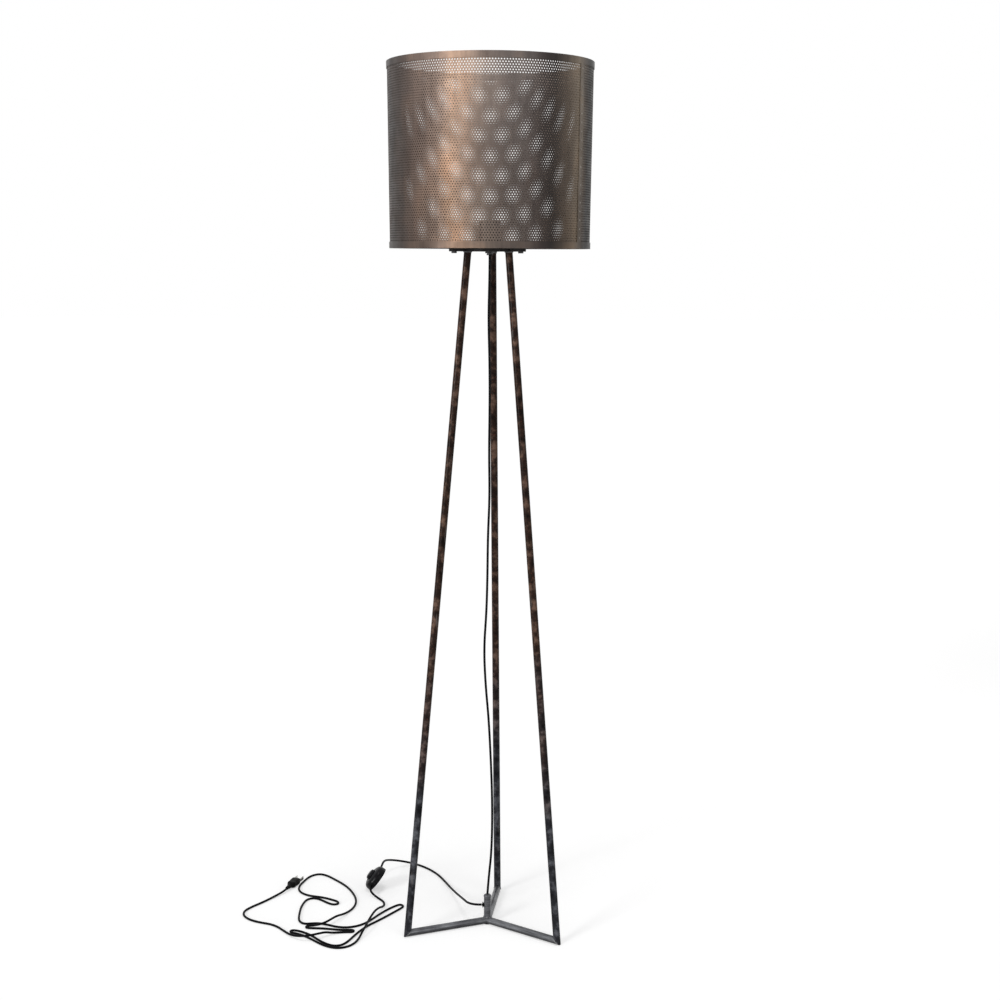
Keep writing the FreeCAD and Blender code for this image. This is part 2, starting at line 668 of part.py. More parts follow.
# ---------------------------------------------------------------- plug
PLUG_TURN = {"axis": (0, 0, 1), "angle": "plug_heading"}
plug_blank = box("plug_blank", "plug_length", "plug_width", "plug_height", x="relief_length",
                 y="-plug_width / 2", z="-plug_height / 2")
doc.recompute()
plug_round = doc.addObject("Part::Fillet", "plug_round")
plug_round.Base = plug_blank
rounding = size("plug_round")
plug_round.Edges = [(number, rounding, rounding)
                    for number, edge in enumerate(plug_blank.Shape.Edges, start=1)
                    if abs(edge.tangentAt(edge.FirstParameter).x) > 0.5
                    or edge.BoundBox.XMax < size("relief_length") + 0.1]
relief = doc.addObject("Part::Cone", "plug_relief")
bind(relief, Radius1="cord_diameter / 2 + relief_tip_wall", Radius2="relief_radius",
     Height="relief_length + relief_radius")
place(relief, axis=(0, 1, 0), angle="90")


def blade(name, side, length, start):
    return box(name, length, "blade_thickness", "blade_width", x=start,
               y=f"{side} * blade_spacing / 2 - blade_thickness / 2", z="-blade_width / 2")


PLUG_FACE = "(relief_length + plug_length)"
slots = [blade(f"plug_slot_{index}", side, "blade_root", f"{PLUG_FACE} - blade_root")
         for index, side in enumerate((-1, 1))]
plug_body = cut("plug_cut", fused("plug_solid", [plug_round, relief]), slots)
PLUG_SPOT = {"x": "plug_x", "y": "plug_y", "z": "plug_height / 2"}
node(place(plug_body, **PLUG_SPOT, **PLUG_TURN), "plug_body")
blades = group("blades", [blade(f"blade_{index}", side, "blade_root + blade_length",
                                f"{PLUG_FACE} - blade_root")
                          for index, side in enumerate((-1, 1))])
node(place(blades, **PLUG_SPOT, **PLUG_TURN), "plug_blades")

# ---------------------------------------------------------------- cord
CORD = size("cord_diameter")
GAP = size("cord_gap")
FLOOR = CORD / 2
OVER = FLOOR + 2.1 * CORD
POST_TOP = size("post_height") + size("cap_rise")
STEM_MOUTH = worked_out(f"{STEM_BOTTOM} - bushing_height / 2")
HOLE_Z = size("post_hole_height")
EXIT_X = -size("post_cord_reach")


def switch_port(side):
    """Where a cord meets the switch's rim, and a point further out along the same line."""
    lean = math.radians(size("switch_lean"))
    across = math.radians(size("switch_cord_angle"))
    upward = Vector(math.cos(lean), 0, math.sin(lean))
    outward = upward * math.cos(across) * side + Vector(0, math.sin(across) * side, 0)
    axis = Vector(-math.sin(lean), 0, math.cos(lean))
    centre = Vector(size("switch_x"), size("switch_y"), size("switch_z"))
    rim = centre + axis * size("switch_cord_height") + outward * size("switch_radius")
    return rim, rim + outward * 2.2 * CORD


PLUG_WAY = math.radians(size("plug_heading"))
PLUG_REAR = Vector(size("plug_x"), size("plug_y"), size("plug_height") / 2)
PLUG_BEHIND = PLUG_REAR - Vector(math.cos(PLUG_WAY), math.sin(PLUG_WAY), 0.1) * 2.6 * CORD

RISER_ROUTE = [
    (0, 0, STEM_MOUTH), (0, 0.5, 1190), (-2, 2, 1115), (0.5, 3, 1040), (1, 1, 960), (0, -1, 880),
    (1.5, -2, 800), (-1.5, -2, 728), (-2, 0, 656), (-3.5, 1, 590), (-8, 2, 522), (-5, 2, 456),
    (1, 1, 392), (4.5, -1, 330), (7.5, -3, 262), (8.5, -3, 196), (7, -2, 136), (2.5, -0.5, 92),
    (0, 0, POST_TOP)]

SWITCH_LEAD_ROUTE = [
    (EXIT_X, 0, HOLE_Z), (-24, 0, HOLE_Z), (-37, 16, 33), (-46, 50, 27), (-58, 98, 17),
    (-71, 149, 8), (-84, 197, 2.6), (-101, 240, FLOOR), (-124, 274, FLOOR), (-150, 293, 4),
    (-178, 287, 12), (-199, 263, 23), (-208, 232, 33), *reversed(switch_port(1))]

PLUG_LEAD_ROUTE = [
    *switch_port(-1), (-221, 122, 6), (-209, 110, 2.6), (-200, 98, FLOOR), (-196, 82, FLOOR),
    # long hump over both arms of the hairpin
    (-199, 66, 4), (-204, 50, 9), (-210, 32, OVER), (-215, 8, OVER + 0.3), (-219, -16, OVER),
    (-222, -40, OVER - 0.2), (-226, -58, 9), (-231, -78, 3),
    # round the front to the first fold and back beside itself
    (-237, -98, FLOOR), (-249, -115, FLOOR), (-267, -121, FLOOR), (-285, -114, FLOOR),
    (-301, -100, FLOOR), (-315, -84, FLOOR), (-329, -69, FLOOR), (-344, -58, FLOOR),
    (-360, -51, FLOOR), (-358, -41, FLOOR), (-345, -44, FLOOR), (-331, -54, FLOOR),
    (-317, -67, FLOOR), (-305, -84, FLOOR), (-291, -100, FLOOR), (-275, -111, FLOOR),
    (-260, -108, FLOOR), (-250, -91, FLOOR), (-242, -67, FLOOR), (-232, -42, FLOOR),
    (-220, -19, FLOOR), (-206, 0, FLOOR), (-190, 23, FLOOR), (-176, 45, FLOOR),
    # hairpin at the right, then left across the front
    (-165, 62, FLOOR), (-159, 74, FLOOR), (-166, 83, FLOOR), (-175, 76, FLOOR),
    (-188, 59, FLOOR), (-202, 36, FLOOR), (-214, 12, FLOOR), (-225, -8, FLOOR),
    (-241, -23, FLOOR), (-261, -29, FLOOR), (-279, -25, FLOOR), (-296, -15, FLOOR),
    (-311, -9, FLOOR), (-324, -10, FLOOR), (-339, -13, FLOOR), (-349, 0, FLOOR),
    (-352, 19, FLOOR), (-353, 42, FLOOR), (-353.5, 65, FLOOR), (-351, 88, FLOOR),
    (-347, 104, FLOOR), (-338, 112, FLOOR), (-326, 109.5, FLOOR),
    # second fold, a narrow eye
    (-315, 99, FLOOR), (-305, 88, FLOOR), (-294, 80, FLOOR), (-284, 84, FLOOR),
    (-286, 95, FLOOR), (-298, 104, FLOOR), (-312, 113, FLOOR), (-326, 118.5, FLOOR),
    (-340, 122.5, FLOOR), (-352, 129, FLOOR),
    # the large loop beside the plug
    (-363, 141, FLOOR), (-369, 157, FLOOR), (-369, 176, FLOOR), (-364, 196, FLOOR),
    (-359, 214, FLOOR), (-351, 230, FLOOR), (-336, 239, FLOOR), (-320, 229, FLOOR),
    (-306, 212, FLOOR), (-290, 192, FLOOR), (-274, 168, FLOOR), (-261, 138, FLOOR),
    (-253, 110, FLOOR), (-251, 84, FLOOR), (-255, 61, FLOOR), (-262, 44, 2.6),
    (-270, 28, 4.5), (-279, 10, 9),
    # over the other strand, then the third and fourth folds
    (-286, -6, OVER), (-294, -21, OVER), (-306, -26, 7.5), (-319, -21.5, 3), (-333, -21, FLOOR),
    (-333, -31, FLOOR), (-320, -32, FLOOR), (-303, -33, FLOOR), (-286, -36, FLOOR),
    (-270, -39.5, FLOOR), (-256, -39.3, FLOOR), (-244, -39, FLOOR), (-244, -49, FLOOR),
    (-256, -49, FLOOR), (-271, -51, FLOOR), (-283, -57, 4), (-293, -66, 9),
    # over both strands of the first fold, far left and back to the plug
    (-303, -76, OVER), (-320, -86, OVER), (-335, -83, 8.5), (-348, -74, 5), (-361, -60, 2.6),
    (-373, -43, FLOOR), (-385, -27, FLOOR), (-399, -15, FLOOR), (-415, -9, FLOOR),
    (-432, -1, FLOOR), (-447, 11, FLOOR), (-457, 28, FLOOR), (-458, 47, FLOOR),
    (-448, 66, FLOOR), (-434, 84, FLOOR), (-421, 103, FLOOR), (-408, 122, 3),
    PLUG_BEHIND, PLUG_REAR]

RUN_SHARE = 0.45


def rounded_path(points):
    """Straight runs joined by tangent arcs, each as large as its two runs allow."""
    edges = []
    radii = []
    last = points[0]
    for before, corner, after in zip(points, points[1:], points[2:]):
        back = before - corner
        ahead = after - corner
        turn = math.pi - back.getAngle(ahead)
        cut_back = RUN_SHARE * min(back.Length, ahead.Length)
        radius = cut_back / math.tan(turn / 2)
        back.normalize()
        ahead.normalize()
        start = corner + back * cut_back
        end = corner + ahead * cut_back
        inward = (back + ahead).normalize()
        middle = corner + inward * (radius / math.cos(turn / 2) - radius)
        edges.append(Part.LineSegment(last, start).toShape())
        edges.append(Part.Arc(start, middle, end).toShape())
        radii.append(radius)
        last = end
    edges.append(Part.LineSegment(last, points[-1]).toShape())
    return Part.Wire(edges), radii


def make_cord(label, route):
    """A round tube along a route; its length, volume, lowest point and radii are printed."""
    points = [Vector(*point) for point in route]
    path, radii = rounded_path(points)
    start = Part.makeCircle(CORD / 2, points[0], points[1] - points[0])
    tube = path.makePipeShell([Part.Wire(start)], True, False)
    item = doc.addObject("Part::Feature", label + "_tube")
    item.Shape = tube
    expected = math.pi * (CORD / 2) ** 2 * path.Length
    print(f"{label}: length {path.Length:.0f} mm, volume ratio {tube.Volume / expected:.4f},",
          f"low {tube.optimalBoundingBox(False).ZMin:.2f}, radii",
          " ".join(f"{radius:.0f}" for radius in radii))
    return node(item, label)


make_cord("riser_cord", RISER_ROUTE)
make_cord("post_cord", [(0, 0, POST_TOP - GAP), (0, 0, HOLE_Z), (EXIT_X + GAP, 0, HOLE_Z)])
make_cord("switch_lead", SWITCH_LEAD_ROUTE)
make_cord("plug_lead", PLUG_LEAD_ROUTE)
node(cylinder("stem_cord_straight", "cord_diameter / 2",
              f"{HOLDER_BASE} + block_lift - {STEM_BOTTOM} + bushing_height / 2 - cord_gap",
              z=f"{STEM_BOTTOM} - bushing_height / 2 + cord_gap"), "stem_cord")

# ---------------------------------------------------------------- check and write
doc.recompute()
for item in doc.Objects:
    if {"Invalid", "Error"} & set(item.State):
        raise RuntimeError(f"{item.Name} did not build: {item.State}")
for item in NODES:
    if item.Shape.isNull() or not item.Shape.isValid() or not item.Shape.Solids:
        raise RuntimeError(f"{item.Label} has no sound solid")

os.makedirs("parts", exist_ok=True)
for item in NODES:
    item.Shape.exportStep(f"parts/{item.Label}.step")
print(len(NODES), "nodes")
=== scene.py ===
"""The looks of a floor lamp: a perforated drum shade on three leaning steel tubes.

Metres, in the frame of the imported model: +Z up, +X to the right, +Y away from the viewer.
"""
import json
import math

import bpy
import numpy as np
from mathutils import Matrix, Vector


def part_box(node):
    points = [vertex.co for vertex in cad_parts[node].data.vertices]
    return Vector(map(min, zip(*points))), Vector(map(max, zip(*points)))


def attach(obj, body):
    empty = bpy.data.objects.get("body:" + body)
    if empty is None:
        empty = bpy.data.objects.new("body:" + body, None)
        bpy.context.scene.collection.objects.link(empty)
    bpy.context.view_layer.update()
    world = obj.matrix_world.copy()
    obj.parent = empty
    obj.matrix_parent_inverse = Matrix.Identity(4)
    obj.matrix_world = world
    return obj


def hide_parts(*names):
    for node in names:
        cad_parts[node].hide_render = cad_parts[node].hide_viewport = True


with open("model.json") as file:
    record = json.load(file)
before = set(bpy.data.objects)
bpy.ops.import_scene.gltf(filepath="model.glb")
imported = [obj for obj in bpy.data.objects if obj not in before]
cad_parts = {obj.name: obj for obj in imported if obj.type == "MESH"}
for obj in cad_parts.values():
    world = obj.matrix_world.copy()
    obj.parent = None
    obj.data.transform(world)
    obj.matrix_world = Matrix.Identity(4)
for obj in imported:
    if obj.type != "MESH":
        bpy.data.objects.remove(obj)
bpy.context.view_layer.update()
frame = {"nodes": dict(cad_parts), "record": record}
MM = 0.001
LAMP = "lamp"
BUTTON = "button"
SHADE_TAPER = 4.0 * MM
SHEET = 1.0 * MM
CORD = 4.2 * MM
# the radius of a hole that a cord fills
CORD_BORE = CORD * 0.51


# ------------------------------------------------------------------ places read from the frame
def low_high(node):
    low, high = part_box(node)
    return Vector(low), Vector(high)


SKIN_LOW, SKIN_HIGH = low_high("shade_skin")
SHADE_BOTTOM = SKIN_LOW.z
SHADE_HEIGHT = SKIN_HIGH.z - SKIN_LOW.z
SHADE_TOP_RADIUS = SKIN_HIGH.x
SHADE_BOTTOM_RADIUS = SHADE_TOP_RADIUS - SHADE_TAPER
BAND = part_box("shade_bottom_band")[1][2] - SHADE_BOTTOM
POST_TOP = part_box("hub_post")[1][2]
TUBE_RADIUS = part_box("hub_post")[1][0]


# ------------------------------------------------------------------ materials
EVEN = (1, 1, 1)


class Nodes:
    """A short way to write a material's nodes."""

    def __init__(self, name):
        self.material = bpy.data.materials.new(name)
        self.material.use_nodes = True
        self.tree = self.material.node_tree
        self.shader = self.tree.nodes["Principled BSDF"]
        self.place = self.add("ShaderNodeTexCoord").outputs["Object"]

    def add(self, kind, **settings):
        node = self.tree.nodes.new(kind)
        for key, value in settings.items():
            setattr(node, key, value)
        return node

    def link(self, output, target):
        self.tree.links.new(output, target)

    def stretched(self, stretch):
        mapping = self.add("ShaderNodeMapping")
        mapping.inputs["Scale"].default_value = stretch
        self.link(self.place, mapping.inputs["Vector"])
        return mapping.outputs["Vector"]

    def noise(self, scale, detail=4.0, rough=0.55, stretch=EVEN):
        node = self.add("ShaderNodeTexNoise")
        node.inputs["Scale"].default_value = scale
        node.inputs["Detail"].default_value = detail
        node.inputs["Roughness"].default_value = rough
        self.link(self.stretched(stretch), node.inputs["Vector"])
        return node.outputs["Fac"]

    def ramp(self, factor, stops):
        node = self.add("ShaderNodeValToRGB")
        line = node.color_ramp.elements
        while len(line) < len(stops):
            line.new(0.5)
        for item, (at, colour) in zip(line, stops):
            item.position = at
            item.color = (*colour, 1)
        self.link(factor, node.inputs["Fac"])
        return node.outputs["Color"]

    def span(self, value, low, high, to_low, to_high):
        node = self.add("ShaderNodeMapRange")
        for key, number in (("From Min", low), ("From Max", high), ("To Min", to_low),
                            ("To Max", to_high)):
            node.inputs[key].default_value = number
        self.link(value, node.inputs["Value"])
        return node.outputs["Result"]

    def mix(self, factor, first, second, blend="MIX"):
        node = self.add("ShaderNodeMix", data_type="RGBA", blend_type=blend)
        for socket, value in ((node.inputs[0], factor), (node.inputs[6], first),
                              (node.inputs[7], second)):
            if isinstance(value, (int, float)):
                socket.default_value = value
            elif isinstance(value, tuple):
                socket.default_value = (*value, 1)
            else:
                self.link(value, socket)
        return node.outputs[2]

    def maths(self, operation, first, second=0.0):
        node = self.add("ShaderNodeMath", operation=operation)
        for socket, value in zip(node.inputs, (first, second)):
            if isinstance(value, (int, float)):
                socket.default_value = value
            else:
                self.link(value, socket)
        return node.outputs[0]

    def height(self):
        split = self.add("ShaderNodeSeparateXYZ")
        self.link(self.place, split.inputs[0])
        return split.outputs["Z"]

    def azimuth(self):
        """The turn about the lamp's axis as a share from 0 at -X, through 0.25 at -Y."""
        split = self.add("ShaderNodeSeparateXYZ")
        self.link(self.place, split.inputs[0])
        turn = self.maths("ARCTAN2", split.outputs["Y"], split.outputs["X"])
        return self.span(turn, -math.pi, math.pi, 0, 1)

    def finish(self, colour, metallic, rough, bump, depth, strength, specular=0.5):
        """Link the looks to the shader; depth is the bump's height in metres."""
        shader = self.shader.inputs
        self.link(colour, shader["Base Color"])
        shader["Metallic"].default_value = metallic
        shader["Specular IOR Level"].default_value = specular
        self.link(rough, shader["Roughness"])
        node = self.add("ShaderNodeBump")
        node.inputs["Strength"].default_value = strength
        node.inputs["Distance"].default_value = depth
        self.link(bump, node.inputs["Height"])
        self.link(node.outputs["Normal"], shader["Normal"])
        return self.material


# the sheet's heat colours round the shade, by share of a turn from -X through the front; the
# front half, from -X to +X, also holds painted light: a bright copper highlight just left of the
# front, a narrower highlight towards +X, and painted shade towards both sides
PATINA_AND_PAINTED_LIGHT = [
    (0.000, (0.060, 0.050, 0.045)), (0.058, (0.050, 0.042, 0.039)),
    (0.098, (0.072, 0.055, 0.048)), (0.127, (0.150, 0.110, 0.092)),
    (0.151, (0.172, 0.126, 0.104)), (0.173, (0.200, 0.142, 0.112)),
    (0.193, (0.290, 0.190, 0.130)), (0.213, (0.340, 0.236, 0.175)),
    (0.231, (0.285, 0.220, 0.182)), (0.250, (0.215, 0.176, 0.155)),
    (0.269, (0.165, 0.137, 0.125)), (0.288, (0.132, 0.112, 0.104)),
    (0.307, (0.118, 0.100, 0.094)), (0.327, (0.056, 0.044, 0.041)),
    (0.349, (0.026, 0.020, 0.018)), (0.373, (0.104, 0.082, 0.065)),
    (0.402, (0.240, 0.196, 0.150)), (0.425, (0.090, 0.072, 0.058)),
    (0.442, (0.012, 0.009, 0.007)), (0.500, (0.040, 0.032, 0.027)),
    (0.610, (0.240, 0.175, 0.130)), (0.650, (0.220, 0.180, 0.155)),
    (0.720, (0.075, 0.064, 0.060)), (0.765, (0.260, 0.220, 0.195)),
    (0.810, (0.330, 0.280, 0.250)), (0.850, (0.130, 0.105, 0.095)),
    (0.900, (0.180, 0.135, 0.105)), (0.950, (0.100, 0.082, 0.070)),
    (1.000, (0.060, 0.050, 0.045))]


# how the shade's colour changes from its bottom to its top
LOW_TINT = (0.74, 0.70, 0.66)
HIGH_TINT = (1.10, 1.11, 1.13)


def patina_and_painted_light_material(name, shade, blotch_scale, metallic, rough):
    """Bare steel sheet with brown and copper heat colours, in soft blotches and streaks; its
    colour round the shade also holds painted highlights and painted shade.
    """
    make = Nodes(name)
    wander = make.span(make.noise(5.0, 3.0), 0.3, 0.7, -0.012, 0.012)
    # heat colours round the shade, with painted highlights and painted shade in the front half
    base = make.ramp(make.maths("ADD", make.azimuth(), wander), PATINA_AND_PAINTED_LIGHT)
    blotch = make.noise(blotch_scale, 6.0, 0.6, (1, 1, 0.6))
    tone = make.ramp(blotch, [(0.30, (0.62, 0.58, 0.56)), (0.52, (0.92, 0.90, 0.88)),
                              (0.72, (1.25, 1.14, 1.04))])
    colour = make.mix(1.0, base, tone, "MULTIPLY")
    streak = make.ramp(make.noise(160.0, 3.0, 0.5, (1, 1, 0.06)),
                       [(0.35, (0.75, 0.73, 0.72)), (0.65, (1.15, 1.13, 1.10))])
    colour = make.mix(0.5, colour, streak, "MULTIPLY")
    colour = make.mix(1.0, colour, (shade, shade, shade), "MULTIPLY")
    share_up = make.span(make.height(), SHADE_BOTTOM, SHADE_BOTTOM + SHADE_HEIGHT, 0, 1)
    tint = make.ramp(share_up, [(0.0, LOW_TINT), (1.0, HIGH_TINT)])
    colour = make.mix(1.0, colour, tint, "MULTIPLY")
    roughness = make.span(make.noise(40.0, 4.0), 0.3, 0.7, rough - 0.07, rough + 0.10)
    return make.finish(colour, metallic, roughness, make.noise(300.0, 4.0), 0.1 * MM, 0.25,
                       specular=0.35)


# the tubes' brown gives way to blue-grey scale between these heights
SCALE_TOP = 0.20
BROWN_FROM = 0.55


def tube_material(name):
    """Waxed dark steel tube: brown-black with rusty specks above, blue-grey scale below, and
    light streaks along it that are part wear, part painted sheen.
    """
    make = Nodes(name)
    mottle = make.noise(55.0, 8.0, 0.65)
    upper = make.ramp(mottle, [(0.34, (0.0035, 0.0018, 0.0014)), (0.50, (0.0240, 0.0135, 0.0100)),
                               (0.66, (0.1400, 0.0850, 0.0610))])
    lower = make.ramp(mottle, [(0.34, (0.0040, 0.0040, 0.0050)), (0.50, (0.0210, 0.0215, 0.0255)),
                               (0.66, (0.1000, 0.1030, 0.1160))])
    blend = make.maths("ADD", make.height(), make.span(make.noise(9.0), 0.3, 0.7, -0.16, 0.16))
    rise = make.span(blend, SCALE_TOP, BROWN_FROM, 0, 1)
    colour = make.mix(rise, lower, upper)
    specks = make.maths("MULTIPLY", make.span(make.noise(420.0, 2.0), 0.62, 0.70, 0, 0.75), rise)
    colour = make.mix(specks, colour, (0.10, 0.034, 0.022))
    # light streaks along the tube: part scuffed wear, part painted sheen in place of a highlight
    # line
    scuffs_and_sheen = make.span(make.noise(150.0, 2.0, 0.5, (1, 1, 0.12)), 0.66, 0.74, 0, 0.55)
    colour = make.mix(scuffs_and_sheen, colour, (0.12, 0.107, 0.100))
    rough = make.span(make.noise(90.0, 4.0), 0.3, 0.7, 0.22, 0.34)
    return make.finish(colour, 0.0, rough, make.noise(260.0, 5.0), 0.1 * MM, 0.30,
                       specular=0.05)


# painted shade: the base tubes' undersides are painted near black below these heights
UNDERSIDE_SHADE_LOW = 3.5 * MM
UNDERSIDE_SHADE_HIGH = 8.5 * MM
UNDERSIDE_SHADE = (0.014, 0.014, 0.016)


def ground_steel(name, low, high, grain, stretch, rough, metallic, shade_below=False,
                 specular=0.4):
    """Ground bare steel with grinding marks and darker stains; its underside may be painted near
    black as shade.
    """
    make = Nodes(name)
    marks = make.noise(grain, 5.0, 0.6, stretch)
    colour = make.ramp(marks, [(0.30, low), (0.68, high)])
    stain = make.ramp(make.noise(28.0, 5.0), [(0.36, (0.45, 0.44, 0.46)), (0.58, (1, 1, 1))])
    colour = make.mix(0.9, colour, stain, "MULTIPLY")
    # painted shade: near black below a wavering level on the tube's underside
    if shade_below:
        uneven = make.span(make.noise(60.0), 0.3, 0.7, -1.0 * MM, 1.0 * MM)
        level = make.maths("ADD", make.height(), uneven)
        bare = make.span(level, UNDERSIDE_SHADE_LOW, UNDERSIDE_SHADE_HIGH, 0, 1)
        colour = make.mix(bare, UNDERSIDE_SHADE, colour)
    roughness = make.span(make.noise(70.0, 4.0), 0.3, 0.7, rough - 0.08, rough + 0.12)
    return make.finish(colour, metallic, roughness, marks, 0.1 * MM, 0.3, specular=specular)


def moulded(name, low, high, rough, grain=900.0, specular=0.4):
    """Moulded plastic or rubber with a fine surface grain and faint dust."""
    make = Nodes(name)
    colour = make.ramp(make.noise(60.0, 5.0), [(0.35, low), (0.70, high)])
    roughness = make.span(make.noise(140.0, 3.0), 0.3, 0.7, rough - 0.06, rough + 0.10)
    return make.finish(colour, 0.0, roughness, make.noise(grain, 2.0), 0.06 * MM, 0.4,
                       specular=specular)


def metal(name, low, high, rough):
    """Plain plated or bare small metal parts, a little stained."""
    make = Nodes(name)
    colour = make.ramp(make.noise(220.0, 5.0), [(0.32, low), (0.66, high)])
    roughness = make.span(make.noise(132.0, 3.0), 0.3, 0.7, rough - 0.06, rough + 0.10)
    return make.finish(colour, 0.85, roughness, make.noise(660.0, 3.0), 0.04 * MM, 0.3)


# the deepest black of the plastics and the cord, and the same with faint dust
JET = (0.0015, 0.0015, 0.002)
JET_DUSTY = (0.006, 0.006, 0.0075)

MATERIALS = {
    "shade_steel": patina_and_painted_light_material("shade_steel", 1.0, 16.0, 0.35, 0.50),
    "band_steel": patina_and_painted_light_material("band_steel", 0.85, 22.0, 0.35, 0.46),
    "rivet_steel": metal("rivet_steel", (0.10, 0.09, 0.08), (0.30, 0.27, 0.24), 0.42),
    "tube_steel": tube_material("tube_steel"),
    # the base tubes, with painted shade on their undersides
    "bar_steel": ground_steel("bar_steel", (0.014, 0.0145, 0.017), (0.215, 0.220, 0.235),
                              330.0, (0.05, 0.05, 0.9), 0.28, 0.25, shade_below=True,
                              specular=0.3),
    "weld_steel": ground_steel("weld_steel", (0.045, 0.045, 0.046), (0.22, 0.22, 0.225), 240.0,
                               EVEN, 0.36, 0.3),
    "plate_steel": ground_steel("plate_steel", (0.005, 0.0045, 0.0045), (0.026, 0.023, 0.022),
                                90.0, EVEN, 0.45, 0.1, specular=0.15),
    "fastener_steel": metal("fastener_steel", (0.022, 0.021, 0.021), (0.110, 0.108, 0.110), 0.38),
    "holder_metal": metal("holder_metal", (0.018, 0.017, 0.016), (0.070, 0.064, 0.058), 0.42),
    "liner_card": moulded("liner_card", (0.20, 0.145, 0.085), (0.33, 0.25, 0.16), 0.80, 500.0),
    "phenolic": moulded("phenolic", (0.020, 0.015, 0.012), (0.045, 0.034, 0.028), 0.42),
    "brass": metal("brass", (0.42, 0.27, 0.09), (0.72, 0.52, 0.22), 0.30),
    "black_plastic": moulded("black_plastic", JET, JET_DUSTY, 0.28, specular=0.10),
    "button_plastic": moulded("button_plastic", JET, JET_DUSTY, 0.24, specular=0.12),
    "black_rubber": moulded("black_rubber", (0.002, 0.002, 0.002), (0.007, 0.007, 0.007), 0.45,
                            specular=0.06),
    "blade_metal": metal("blade_metal", (0.42, 0.41, 0.39), (0.66, 0.65, 0.62), 0.24),
    "spring_steel": metal("spring_steel", (0.30, 0.30, 0.31), (0.55, 0.55, 0.56), 0.28),
    "cord_black": moulded("cord_black", JET, (0.005, 0.005, 0.006), 0.42, 1400.0,
                          specular=0.04),
}


def dress_cad_nodes():
    """Give each node that stays in view its slot's material."""
    for part in frame["record"]["subparts"]:
        item = frame["nodes"].get(part["node"])
        if item is None or item.type != "MESH":
            continue
        item.data.materials.clear()
        item.data.materials.append(MATERIALS[part["material_slot"]])


dress_cad_nodes()


# ------------------------------------------------------------------ mesh helpers
def new_piece(name, points, faces, slot, replaces, body=LAMP, smooth=True):
    """A mesh piece that rides on a body, with the slot's material, instead of CAD nodes."""
    mesh = bpy.data.meshes.new(name)
    mesh.from_pydata([tuple(point) for point in points], [], [tuple(face) for face in faces])
    mesh.validate()
    mesh.materials.append(MATERIALS[slot])
    if smooth:
        mesh.polygons.foreach_set("use_smooth", [True] * len(mesh.polygons))
    item = bpy.data.objects.new(name, mesh)
    bpy.context.scene.collection.objects.link(item)
    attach(item, body)
    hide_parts(*replaces)
    return item


def lathe(profile, segments, place=Matrix()):
    """Points and faces of a closed profile of (radius, height) turned about Z, then placed."""
    points = []
    for radius, height in profile:
        for step in range(segments):
            turn = 2 * math.pi * step / segments
            spot = Vector((radius * math.cos(turn), radius * math.sin(turn), height))
            points.append(place @ spot)
    faces = []
    for row in range(len(profile)):
        first = row * segments
        second = (row + 1) % len(profile) * segments
        for step in range(segments):
            after = (step + 1) % segments
            faces.append((first + step, first + after, second + after, second + step))
    return points, faces


def rounded_profile(corners, radii, steps):
    """A closed profile with its corners rounded; radii of 0 keep a corner sharp."""
    result = []
    count = len(corners)
    for index, (corner, radius) in enumerate(zip(corners, radii)):
        spot = Vector(corner)
        if radius <= 0:
            result.append(tuple(spot))
            continue
        back = (Vector(corners[index - 1]) - spot).normalized()
        ahead = (Vector(corners[(index + 1) % count]) - spot).normalized()
        start = spot + back * radius
        end = spot + ahead * radius
        for step in range(steps + 1):
            share = step / steps
            first = start.lerp(spot, share)
            second = spot.lerp(end, share)
            result.append(tuple(first.lerp(second, share)))
    return result


def section(corners, steps):
    """A rounded profile from rows of (radius, height, rounding) in millimetres."""
    return rounded_profile([(radius * MM, height * MM) for radius, height, _ in corners],
                           [rounding * MM for _, _, rounding in corners], steps)


def closed_tube(path, radii, sides):
    """Points and faces of a tube along a closed ring of points, each with its own radius."""
    points = []
    count = len(path)
    normal = (path[1] - path[-1]).normalized().orthogonal().normalized()
    for index, (spot, radius) in enumerate(zip(path, radii)):
        along = (path[(index + 1) % count] - path[index - 1]).normalized()
        normal = (normal - along * normal.dot(along)).normalized()
        side = along.cross(normal)
        for step in range(sides):
            turn = 2 * math.pi * step / sides
            points.append(spot + (normal * math.cos(turn) + side * math.sin(turn)) * radius)
    faces = []
    for index in range(count):
        first = index * sides
        second = (index + 1) % count * sides
        for step in range(sides):
            after = (step + 1) % sides
            faces.append((first + step, first + after, second + after, second + step))
    return points, faces


# ------------------------------------------------------------------ perforated shade
HOLE_PITCH = 4.76 * MM
HOLE_RADIUS = 1.28 * MM
HOLE_CORNERS = 8
PANELS = 8
# holes round the shade, near the same pitch and in whole panels
COLUMNS = 29 * PANELS
# staggered rows stand closer together than the holes in a row
HOLE_ROWS = int(round((SHADE_HEIGHT - 2 * BAND) / (HOLE_PITCH * math.sqrt(0.75))))


def shade_radius(rise):
    return SHADE_BOTTOM_RADIUS + (SHADE_TOP_RADIUS - SHADE_BOTTOM_RADIUS) * rise / SHADE_HEIGHT


